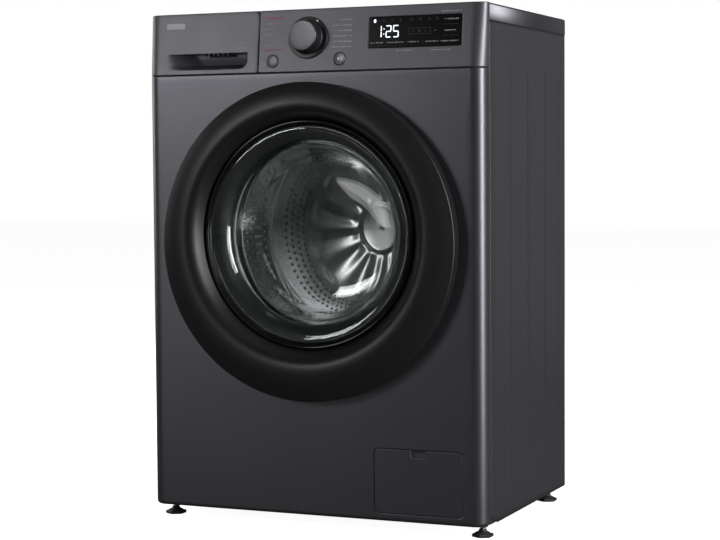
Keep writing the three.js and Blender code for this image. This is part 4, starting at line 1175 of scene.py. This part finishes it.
# ---- gasket, drum and tub seen through the glass ----
def gasket():
    """Rubber bellows: a bead clamped on the panel's lip, a lip that meets the glass, a fold, and a
    bead on the tub. The strip's centre line is a smooth curve turned about the drum's axis."""
    line = spline([(184.4, 25.4), (184.6, 19), (183, 15.2), (177, 14.2), (168, 14.4), (161.6, 15.6),
                   (160.4, 17.6),
                   (163, 19.2), (170, 23.4), (176.6, 29), (178.4, 33.6), (176.6, 37.4), (170, 39),
                   (165.4, 40.8),
                   (164.6, 43.6), (165, 47)], 5)
    piece = Surface().grid(lathe(ribbon(line, 2.2), DRUM_Z, 160), wrap=True).build(
        "gasket_bellows", GREY_RUBBER, "tub", "grey_rubber", ["door_gasket"], ride=False)
    join_bodies(piece)


gasket()

DRUM_R, DRUM_MOUTH, DRUM_BACK = 234.6, 88.0, 318.0
DRUM_WALL_BACK = 310.0
BAND_IN, BAND_OUT = 156.0, 204.0                 # the drilled band of the back
DRUM_COLUMNS = 96
LIFTER_TURNS = (75.0, 195.0, 315.0)
HOLE_RADIUS = 2.3


def drilled(surface, span, rows, radius, clear, place):
    """A band of cells round the drum, each row shifted by half a cell. A cell is eight border
    points round a hole: border, a pressed rim, then the hole's edge. place(angle, distance, depth)
    puts the points; cells that clear(angle in degrees, distance) leaves out stay plain."""
    pitch, step = (span[1] - span[0]) / rows, 2 * np.pi / DRUM_COLUMNS
    row, column = np.meshgrid(np.arange(rows), np.arange(DRUM_COLUMNS), indexing="ij")
    middle_a = ((column + 0.5 * (row % 2)) * step).ravel()
    middle_d = (span[0] + (row + 0.5) * pitch).ravel()
    square = np.array([[-1, -1], [0, -1], [1, -1], [1, 0], [1, 1], [0, 1], [-1, 1], [-1, 0]]) / 2
    circle = square / np.linalg.norm(square, axis=1, keepdims=True)
    border = place(middle_a[:, None] + square[None, :, 0] * step,
                   middle_d[:, None] + square[None, :, 1] * pitch, 0)
    rings = [border]
    for reach, depth in ((HOLE_RADIUS + 1.2, 0), (HOLE_RADIUS, 0.7)):
        rings.append(place(middle_a[:, None] + circle[None, :, 0] * reach / radius,
                           middle_d[:, None] + circle[None, :, 1] * reach, depth))
    open_cell = clear(np.degrees(middle_a), middle_d)
    n = np.arange(8)
    quads = np.stack([n, (n + 1) % 8, 8 + (n + 1) % 8, 8 + n], -1)
    fans = np.array([[7, 0, 1, 8], [1, 2, 3, 8], [3, 4, 5, 8], [5, 6, 7, 8]])
    centre = place(middle_a, middle_d, 0)[:, None]
    for cells_points, pattern in ((np.concatenate(rings, 1)[open_cell],
                                   np.concatenate([quads, quads + 8])),
                                  (np.concatenate([border, centre], 1)[~open_cell], fans)):
        count, size = cells_points.shape[:2]
        faces = (pattern[None] + size * np.arange(count)[:, None, None]).reshape(-1,
                                                                                 4) + surface.count
        surface.add(cells_points.reshape(-1, 3), faces.tolist())


def on_wall(a, y, depth):
    """Point on the drum's wall, moved out by a depth: r sin a, y, r cos a."""
    reach = DRUM_R + depth
    return np.stack([reach * np.sin(a), y + 0 * a, DRUM_Z + reach * np.cos(a)], -1)


def on_back(a, r, depth):
    """Point on the drum's back, moved back by a depth: r sin a, y, r cos a."""
    return np.stack([r * np.sin(a), DRUM_BACK + depth + 0 * a, DRUM_Z + r * np.cos(a)], -1)


def drum():
    """Perforated drum: rolled mouth, front shoulder, drilled wall, and a back with a drilled band
    and, inside it, fourteen pressed rays: depth 2.2 cos^2(7 a), faded towards the hub and the
    band."""
    surface = Surface()
    drilled(surface, (DRUM_MOUTH, DRUM_WALL_BACK), 15, DRUM_R,
            lambda a, y: (np.abs((a[:, None] - LIFTER_TURNS + 180) % 360 - 180).min(1) > 9.5)
            & (y > DRUM_MOUTH + 15) & (y < DRUM_WALL_BACK - 15), on_wall)
    mouth = spline([(159.0, 66.6), (157.3, 64.8), (157.6, 63.2), (160.4, 63.6), (165, 66.6),
                    (172, 70.6), (186, 72.6),
                    (204, 73.2), (220, 74.6), (228.6, 77.6), (233.2, 82.6)], 3)
    surface.grid(lathe(np.concatenate([mouth, [(DRUM_R, DRUM_MOUTH)]]), DRUM_Z), wrap=True)
    drilled(surface, (BAND_IN, BAND_OUT), 4, (BAND_IN + BAND_OUT) / 2, lambda a, r: r > 0, on_back)
    rim = spline([(DRUM_R, DRUM_WALL_BACK), (232.8, 314.4), (228.6, 317.2), (222, 318)], 3)
    surface.grid(lathe(np.concatenate([rim, [(213, DRUM_BACK), (BAND_OUT, DRUM_BACK)]]), DRUM_Z),
                 wrap=True)
    r = np.concatenate([np.linspace(BAND_IN, 18, 36), [6, 0.5]])
    field = lathe(np.stack([r, np.full(len(r), DRUM_BACK)], -1), DRUM_Z)
    rays = smooth((r - 44) / 24) * smooth((148 - r) / 14)
    field[..., 1] -= rays[:,
                          None] * 2.2 * np.cos(7 * turn()[None, :]) ** 2 + 4 * smooth((50 - r)
                                                                                      / 9)[:, None]
    surface.grid(field, wrap=True)
    return surface.build("drum_perforated", STEEL_DRUM, "drum", "stainless", ["drum_shell"],
                         wall=0.8, weld=4e-5,
                         sharp=30)


drum()


def lifters():
    """Three hollow ridges: rise 47 s(1 - |u|), s a smooth step, rounded off at both ends; the foot
    follows the drum's wall."""
    front, back = 98.6, 303.4
    u = np.linspace(-1, 1, 41)[None, :]
    y = np.linspace(front, back, 61)[:, None]
    ends = np.clip(np.minimum(y - front, back - y) / 30, 0, 1)
    along = np.sqrt(1 - (1 - ends) ** 2)
    rise = 47 * smooth((1 - np.abs(u)) / 0.76) ** 1.35 * along
    ribs = 0.8 * np.cos((y - 200) / 7.5 * np.pi) ** 6 * smooth((rise - 8) / 10)
    x = 27 * u * (0.55 + 0.45 * along)
    foot = np.sqrt((DRUM_R - 0.9) ** 2 - x ** 2)
    for node, place in zip(("lifter_3", "lifter_1", "lifter_2"), LIFTER_TURNS):
        a = math.radians(place)
        surface = Surface()
        for depth in (foot - rise + ribs, foot + 0 * rise):
            surface.grid(np.stack([x * math.cos(a) + depth * math.sin(a), y + 0 * x,
                                   DRUM_Z + depth * math.cos(a) - x * math.sin(a)], -1))
        surface.build(f"drum_{node}", LIFTER_GREY, "drum", "pale_plastic", [node])


lifters()


def tub_front():
    """Front half of the tub: mouth collar, stepped front wall with ribs 3 cos^8(12 a), drum wall
    and flange."""
    line = spline([(168, 48.5), (168, 56.4), (170, 57.8), (205, 56), (232, 60.2), (248, 64),
                   (253.4, 68.6), (254.5, 75),
                   (254.5, 100), (254.5, 193), (256, 195.8), (263, 196)], 4)
    profile = ribbon(line, 2.6)
    points = lathe(profile, DRUM_Z)
    a = turn()[None, :]
    outside = np.arange(len(profile)) < len(line)
    lean = smooth((profile[:, 0] - 205) / 12) * smooth((252 - profile[:, 0]) / 8)
    front = (profile[:, 1] < 70) & (lean > 0)
    points[..., 1] -= np.where(front[:, None], 1.4 * lean[:, None] * np.cos(12 * a) ** 8,
                               0) * outside[:, None]
    Surface().grid(points, wrap=True).build("tub_front_half", PALE_PLASTIC, "tub", "pale_plastic",
                                            ["tub_front"])


tub_front()


# ---- service hatch ----
HATCH_GAP = 0.8
NOTCH, NOTCH_DEPTH = (175.0, 199.0), 12.5


def offset_outline(points, inset):
    """Moves a closed outline in by a distance, square to the line through each point's
    neighbours."""
    along = np.roll(points, -1, 0) - np.roll(points, 1, 0)
    along /= np.linalg.norm(along, axis=1, keepdims=True)
    return points + np.stack([-along[:, 1], along[:, 0]], -1) * inset


def hatch():
    """Flush cover with rounded corners, a finger notch in its top edge and a softened front
    edge."""
    low, high = HATCH_LOW + HATCH_GAP, HATCH_HIGH - HATCH_GAP
    radius, inner, outer = 7.2, 2.6, 1.4             # corners of the cover, the notch's floor and its mouth
    notch_floor = high[1] - NOTCH_DEPTH
    corners = [
        ((low[0] + radius, low[1] + radius), radius, 180, 270, 10),
        ((high[0] - radius, low[1] + radius), radius, 270, 360, 10),
        ((high[0] - radius, high[1] - radius), radius, 0, 90, 10),
        ((NOTCH[1] + outer, high[1] - outer), outer, 90, 180, 4),
        ((NOTCH[1] - inner, notch_floor + inner), inner, 0, -90, 5),
        ((NOTCH[0] + inner, notch_floor + inner), inner, 270, 180, 5),
        ((NOTCH[0] - outer, high[1] - outer), outer, 0, 90, 4),
        ((low[0] + radius, high[1] - radius), radius, 90, 180, 10),
    ]
    outline = np.concatenate([arc(*corner) for corner in corners])
    rows = []
    for inset, depth in ((1.2, 2.5), (0, 2.5), (0, 0.75), (0.12, 0.35), (0.4, 0.1), (0.8, 0.0)):
        line = offset_outline(outline, inset)
        rows.append(upright(line[:, 0], line[:, 1], np.full(len(line), depth)))
    Surface().closed(np.array(rows)).build("hatch_cover", PAINT, "hatch", "grey_moulding",
                                           ["service_hatch"],
                                           sharp=12, weld=1e-7)


hatch()


def hatch_catch():
    """Shallow well behind the finger notch: 3 mm deep, and up to 1.6 mm deeper below its upper
    edge."""
    gx, gz = np.meshgrid(np.linspace(173.4, 200.6, 24), np.linspace(126.4, 140.2, 14))
    bowl = np.cos((gx - 187) / 13.6 * np.pi / 2).clip(0) ** 0.5
    deep = 3.0 + 1.6 * bowl * smooth((140.4 - gz) / 5)
    Surface().grid(upright(gx, gz, deep)).build("hatch_well", MOULDING, "cabinet",
                                                facing=(0, -1, 0),
                                                        wall=0.6)


hatch_catch()


# ---- levelling feet ----
STUD, STUD_PITCH = 4.0, 1.25


def foot(x, y, node, body):
    """Six-sided pad with softened corners, reach r cos 30 / cos(a mod 60 - 30), under a waisted
    collar; a threaded stud 4 - 0.3 (1 + cos(2 pi z / 1.25 - a)) and a six-sided lock nut that stays
    on the cabinet."""
    a = turn(72)
    slot = (a + np.pi / 6) % (np.pi / 3) - np.pi / 6
    hexagon = np.minimum(math.cos(np.pi / 6) / np.cos(slot), 0.985)
    plain = np.ones(len(a))

    def stack(surface, rows, shape):
        """Adds a closed solid from rows of (reach, height)."""
        r, z = np.array(rows)[:, :1], np.array(rows)[:, 1:2]
        reach = r * shape[None]
        return surface.closed(np.stack([x + reach * np.cos(a), y + reach * np.sin(a),
                                        z + 0 * reach], -1))

    pad = stack(Surface(), [(15.6, 0), (17.2, 0.3), (18, 1.3), (18, 4.2), (17.2, 5.2), (14, 6.0)],
                hexagon)
    stack(pad, [(13, 5.8), (11.4, 7.4), (8.2, 8.6), (6.6, 10.2), (6.2, 12.4), (5.4, 12.8)], plain)
    pad.build(f"{node}_pad", BLACK_PLASTIC, body, "black_plastic", [node], sharp=28)
    z, wind = np.linspace(12.6, 56, 180)[:, None], a[None, ::3]
    reach = STUD - 0.3 * (1 + np.cos(2 * np.pi * z / STUD_PITCH - wind))
    stud = np.stack([x + reach * np.cos(wind), y + reach * np.sin(wind), z + 0 * reach], -1)
    Surface().closed(stud).build(f"{node}_stud", BRIGHT, body)
    nut = [(4.6, 15.4), (7.8, 15.4), (8.6, 15.9), (8.6, 21.2), (7.8, 21.7), (4.6, 21.7)]
    stack(Surface(), nut, hexagon).build(f"{node}_lock_nut", BRIGHT, "cabinet", sharp=28)


FEET = {"foot_1": "front_left_foot", "foot_2": "front_right_foot", "foot_3": "rear_left_foot",
        "foot_4": "rear_right_foot"}
for node, body in FEET.items():
    foot_low, foot_high = mm_box(node)
    foot(*((foot_low + foot_high) / 2)[:2], node, body)


# ---- rear ----
REAR_LOW, REAR_TOP = mm_box("rear_panel")
REAR_Y = REAR_TOP[1]
INLET_PLACE, DRAIN_PLACE, MAINS_PLACE = (-205, 790), (255, 700), (223.5, 760)


def rear_shape(x, z, depth):
    """Rear sheet with three level and two upright pressed ribs: y = rear - 1.1 times the sum of
    e^-(distance / 5.5)^2, faded at the ends of each rib."""
    pressed = np.zeros_like(x)
    for rib_z in (120.0, 190.0, 260.0):
        pressed += np.exp(-((z - rib_z) / 5.5) ** 2) * smooth((x + 268) / 16) * smooth((268 - x)
                                                                                       / 16)
    for rib_x in (-230.0, 230.0):
        pressed += np.exp(-((x - rib_x) / 5.5) ** 2) * smooth((z - 340) / 16) * smooth((640 - z)
                                                                                       / 16)
    return np.stack([x, REAR_Y - 1.1 * pressed.clip(0, 1) - depth, z], -1)


def rear_panel():
    """Pressed steel sheet with holes for the motor, the inlet valve, the drain outlet and the mains
    lead."""
    surface = Surface()
    across = ([REAR_LOW[0], -225, -185, -165, 165, 212, 235, 275, REAR_TOP[0]],
              [16, 8, 5, 60, 10, 6, 10, 6])
    up = ([REAR_LOW[2], 319, 649, 680, 720, 750, 770, 772, 808, REAR_TOP[2]],
          [60, 60, 6, 10, 6, 6, 2, 10, 4])
    holes = {
        (3, 1): round_hole((0, DRUM_Z), 150), (1, 7): round_hole(INLET_PLACE, 15),
        (6, 3): round_hole(DRAIN_PLACE, 12.5), (5, 5): round_hole(MAINS_PLACE, 7.5),
    }
    holed_panel(surface, across, up, holes, rear_shape, [(0.2, 0), (0, 0.2)])
    return surface.build("rear_panel_skin", ZINC, "cabinet", "zinc_sheet", ["rear_panel"],
                         (0, 1, 0), 1.1)


rear_panel()


def rear_cover():
    """Pressed dish over the motor opening with radial ribs 1.6 cos^6(6 a) in its field and a flat
    rim."""
    line = spline([(164, REAR_Y + 0.6), (150, REAR_Y + 0.6), (147, REAR_Y + 1.2),
                   (138, REAR_Y + 7.4),
                   (135, REAR_Y + 8.4), (128, REAR_Y + 8.6)], 3)
    r = np.concatenate([line[:, 0], np.linspace(128, 4, 34)[1:], [0.4]])
    y = np.concatenate([line[:, 1], np.full(len(r) - len(line), REAR_Y + 8.6)])
    points = lathe(np.stack([r, y], -1), DRUM_Z)
    field = smooth((r - 40) / 14) * smooth((124 - r) / 10)
    points[..., 1] -= 1.6 * field[:, None] * np.cos(6 * turn()[None, :]) ** 6
    Surface().grid(points, wrap=True).build("rear_cover_skin", ZINC, "cabinet", "zinc_sheet",
                                            ["rear_cover"],
                                            (0, 1, 0), 1.0, weld=4e-5)


rear_cover()


def screws(places):
    """Pan heads with a cross recess: a low dome whose top is cut 1 mm deep along two bars."""
    r = np.array([0.4, 1.1, 1.9, 2.7, 3.4, 3.9, 4.0])[:, None]
    a = turn(24)[None, :]
    rise = 2.2 * np.sqrt(1 - (r / 4.3) ** 2)
    bars = (np.minimum(np.abs(r * np.sin(a)), np.abs(r * np.cos(a))) < 0.55) & (r < 2.4)
    out = rise - 1.0 * bars
    surface = Surface()
    for x, y, z in places:
        points = np.stack([x + r * np.sin(a), y + out, z + r * np.cos(a)], -1)
        seat = points[-1:] * [1, 0, 1] + [0, y, 0]
        surface.closed(np.concatenate([points, seat]))
    return surface.build("rear_screws", BRIGHT, "cabinet", sharp=30)


cover_screws = [(157 * math.sin(a), REAR_Y + 1.15, DRUM_Z + 157 * math.cos(a))
                for a in np.radians(np.arange(0, 360, 60) + 30)]
edge_screws = [(x, REAR_Y + 0.05, z) for x in (-288, 288) for z in (60, 310, 560, 806)]
top_screws = [(x, REAR_Y + 0.05, 812) for x in (-150, 0, 150)]
screws(cover_screws + edge_screws + top_screws)


def inlet():
    """Threaded inlet spout on the rear: r = 12.1 + 0.9 cos^2(pi y / 2.3) over the thread, with a
    bore and strainer; behind it the valve's block, its coil and a hose stem that points down."""
    x, z = INLET_PLACE
    mouth = mm_box("inlet_valve")[1][1]
    y = np.linspace(REAR_Y - 4, mouth, 70)
    thread = 12.1 + 0.9 * np.cos(np.pi * (y - REAR_Y) / 2.3) ** 2 * smooth((y - REAR_Y - 1) / 1.5)
    bore = [(9.6, 0), (9.2, 0.6), (9.0, 2), (9.0, 9), (3.0, 9.4), (0.3, 9.5)]
    profile = np.concatenate([np.stack([thread, y], -1), [(r, mouth - depth) for r, depth in bore]])
    surface = Surface().grid(lathe(profile, z, 48) + [x, 0, 0], wrap=True)
    blocks(surface, [[-222, 388, 776], [-216, 384, 808]],
           [[-188, REAR_Y - 2, 810], [-194, 389, 814]])
    stem = lathe([(9, 0), (9, 14), (8, 16), (8, 18)], 0, 32)
    surface.grid(np.stack([x + stem[..., 0], 388 - stem[..., 1], z + stem[..., 2]], -1), wrap=True)
    surface.build("inlet_valve_body", PALE_PLASTIC, "cabinet", "pale_plastic", ["inlet_valve"],
                  bevel=0.5)


inlet()


# ---- springs and hoses inside ----
SPRING_X, SPRING_Y, SPRING_LOW, SPRING_HIGH = 281, 150, 603, 735
COIL, COIL_TURNS, WIRE = 9, 12, 1.3


def coil_spring(side, word):
    """Wire wound on a leaning line: helix of radius 9, twelve turns, drawn in to the line at each
    end."""
    t = np.linspace(0, 1, 420)
    wind = 2 * np.pi * COIL_TURNS * t
    reach = COIL * smooth(t / 0.06) * smooth((1 - t) / 0.06)
    x = side * SPRING_X + reach * np.cos(wind)
    y = SPRING_Y + 60 * (1 - t) + reach * np.sin(wind)
    z = SPRING_LOW + (SPRING_HIGH - SPRING_LOW) * t
    piece = Surface().closed(tube(np.stack([x, y, z], -1), WIRE, 8)).build(
        f"{word}_coil_spring", BRIGHT, "tub", "bright_steel", [f"{word}_spring"], ride=False)
    join_bodies(piece)


coil_spring(-1, "left")
coil_spring(1, "right")

CUFF = 12                        # plain length at each end of a hose


def ribbed_hose(name, points, radius, slot_name, finish, node, step, ride=True):
    """Corrugated hose along a smooth curve: radius - 1.1 sin^2(pi s / step), s the length along it,
    with a plain cuff at each end."""
    path = spline(points, 40)
    length = np.append(0, np.cumsum(np.linalg.norm(np.diff(path, axis=0), axis=1)))
    s = np.arange(0, length[-1], 1.0)
    path = np.stack([np.interp(s, length, path[:, i]) for i in range(3)], -1)
    ribbed = smooth((s - CUFF) / 4) * smooth((s[-1] - CUFF - s) / 4)
    reach = radius - 1.1 * np.sin(np.pi * s / step) ** 2 * ribbed
    return Surface().closed(tube(path, reach, 20)).build(name, finish, "cabinet", slot_name, [node],
                                                         ride=ride)


piece = ribbed_hose("fill_bellows", [(-150, 250, 741.2), (-150, 250, 722), (-150, 250, 702.4)],
                    10.8, "black_rubber",
                    BLACK_RUBBER, "fill_hose", 4.0, ride=False)
join_bodies(piece)
SUMP_ROUTE = [(70, 150, 225.6), (72, 150, 200), (110, 140, 176), (165, 127, 172), (186, 126, 146),
              (186, 126, 125.8)]
piece = ribbed_hose("sump_bellows", SUMP_ROUTE, 14.6, "black_rubber", BLACK_RUBBER, "sump_hose",
                    7.0, ride=False)
join_bodies(piece)
DRAIN_ROUTE = [(208, 182, 64), (208, 200, 64), (220, 240, 58), (258, 330, 56), (280, 388, 90),
               (281, 404, 300),
               (281, 400, 560), (276, 392, 660), (255, 402, 700), (255, 420.2, 700)]
ribbed_hose("drain_line", DRAIN_ROUTE, 9.8, "grey_rubber", GREY_RUBBER, "drain_hose", 5.0)

# ---- camera and light ----
CAMERA_PLACE = (1.267, -2.9215, 0.598)
CAMERA_YAW, CAMERA_PITCH, CAMERA_ROLL = 23.44, 3.29, -0.418
CAMERA_LENS = 92.2


def camera():
    """Camera at a height of 0.6 m, turned to the left, tipped slightly down."""
    a, p, r = (math.radians(v) for v in (CAMERA_YAW, CAMERA_PITCH, CAMERA_ROLL))
    forward = Vector((-math.sin(a) * math.cos(p), math.cos(a) * math.cos(p), -math.sin(p)))
    right = Vector((math.cos(a), math.sin(a), 0))
    up = right.cross(forward)
    side = right * math.cos(r) + up * math.sin(r)
    top = up * math.cos(r) - right * math.sin(r)
    data = bpy.data.cameras.new("camera")
    data.lens = CAMERA_LENS
    data.sensor_width = 36
    made = bpy.data.objects.new("camera", data)
    made.matrix_world = Matrix.Translation(CAMERA_PLACE) @ Matrix((side, top,
                                                                   -forward)).transposed().to_4x4()
    bpy.context.scene.collection.objects.link(made)
    bpy.context.scene.camera = made


def softbox(name, place, target, size, power):
    """Rectangular lamp aimed at a point."""
    data = bpy.data.lights.new(name, "AREA")
    data.shape = "RECTANGLE"
    data.size, data.size_y = size
    data.energy = power
    lamp = bpy.data.objects.new(name, data)
    lamp.location = place
    lamp.visible_camera = False
    lamp.rotation_mode = "QUATERNION"
    lamp.rotation_quaternion = (Vector(target) - Vector(place)).to_track_quat("-Z", "Y")
    bpy.context.scene.collection.objects.link(lamp)


FILL = 0.028
FLOOR_REACH = 14.0


def camera_rays(tree, output, seen, otherwise):
    """Sends one shader to what the camera sees directly and another to every reflection and
    bounce."""
    nodes, links = tree.nodes, tree.links
    ray = nodes.new("ShaderNodeLightPath")
    mix = nodes.new("ShaderNodeMixShader")
    links.new(ray.outputs["Is Camera Ray"], mix.inputs[0])
    links.new(otherwise.outputs[0], mix.inputs[1])
    links.new(seen.outputs[0], mix.inputs[2])
    links.new(mix.outputs[0], nodes[output].inputs["Surface"])


def world():
    """White backdrop for the eye; a dim even fill for the surfaces."""
    made = bpy.data.worlds.new("studio")
    made.use_nodes = True
    fill = made.node_tree.nodes["Background"]
    seen = made.node_tree.nodes.new("ShaderNodeBackground")
    for background, strength in ((fill, FILL), (seen, 1.0)):
        background.inputs["Color"].default_value = (1, 1, 1, 1)
        background.inputs["Strength"].default_value = strength
    camera_rays(made.node_tree, "World Output", seen, fill)
    bpy.context.scene.world = made


def floor():
    """Pale floor, wide enough to fill every view of it; in reflections it is dull, so that the
    lower edges stay dark."""
    mesh = bpy.data.meshes.new("floor")
    r = FLOOR_REACH
    mesh.from_pydata([(-r, -r, 0), (r, -r, 0), (r, r, 0), (-r, r, 0)], [], [(0, 1, 2, 3)])
    pale = material("pale_floor", (0.9, 0.9, 0.9), 0.7, tint=0.02, smudge=0.05, cloud=2, grain=300,
                    bump=0.01,
                    Emission_Color=(1, 1, 1, 1), Emission_Strength=0.95)
    dull = pale.node_tree.nodes.new("ShaderNodeBsdfDiffuse")
    dull.inputs["Color"].default_value = (0.13, 0.13, 0.13, 1)
    camera_rays(pale.node_tree, "Material Output", pale.node_tree.nodes["Principled BSDF"], dull)
    mesh.materials.append(pale)
    made = bpy.data.objects.new("floor", mesh)
    bpy.context.scene.collection.objects.link(made)


camera()
world()
floor()
softbox("left_key", (-1.75, -2.85, 1.35), (-0.1, -0.2, 0.75), (0.8, 0.8), 27)
softbox("right_strip", (2.5, -0.6, 1.05), (0.3, -0.15, 0.6), (0.7, 2.0), 98)
softbox("back_right", (1.2, 2.4, 0.8), (0.3, 0.05, 0.45), (1.5, 2.4), 1.9)
softbox("low_front", (-1.35, -2.3, 0.2), (0, 0, 0.48), (0.6, 0.3), 1.6)
softbox("left_rim", (-2.6, 0.2, 1.2), (-0.3, 0.0, 0.5), (1.0, 1.6), 22)
softbox("back_left", (-1.3, 2.9, 1.5), (-0.05, 0.2, 0.5), (1.3, 1.3), 30)
softbox("overhead", (0.2, 0.3, 3.0), (0, 0, 0.8), (1.6, 1.6), 10)
DRUM_LAMP_POWER = 0.024
DRUM_LAMPS = [((-60, 84, 656), (-40, 318, 520), (0.16, 0.03)),
              ((-140, 84, 400), (60, 318, 470), (0.03, 0.12)),
              ((110, 84, 590), (-120, 250, 470), (0.03, 0.1))]
for number, (place, target, size_of_lamp) in enumerate(DRUM_LAMPS):
    softbox(f"drum_lamp_{number + 1}", placed(place).tolist(), placed(target).tolist(),
            size_of_lamp,
            DRUM_LAMP_POWER)
bpy.context.scene.view_settings.view_transform = "Standard"

NODE_FINISH = {
    "grey_paint": PAINT, "grey_moulding": MOULDING, "zinc_sheet": ZINC, "black_satin": SATIN,
    "black_gloss": GLOSS,
    "black_plastic": BLACK_PLASTIC, "pale_plastic": PALE_PLASTIC, "door_glass": GLASS,
    "stainless": STEEL_DRUM,
    "aluminium": ALUMINIUM, "concrete": CONCRETE, "grey_rubber": GREY_RUBBER,
    "black_rubber": BLACK_RUBBER,
    "winding": WINDING, "circuit_board": BOARD, "bright_steel": BRIGHT,
}


def finish_nodes():
    """Gives each node that still shows its finish and lightly rounded edges."""
    for part in frame["record"]["subparts"]:
        node = frame["nodes"][part["node"]]
        if node.hide_render:
            continue
        node.data.materials.clear()
        node.data.materials.append(NODE_FINISH[part["material_slot"]])
        soften(node, 0.4, 1)


finish_nodes()
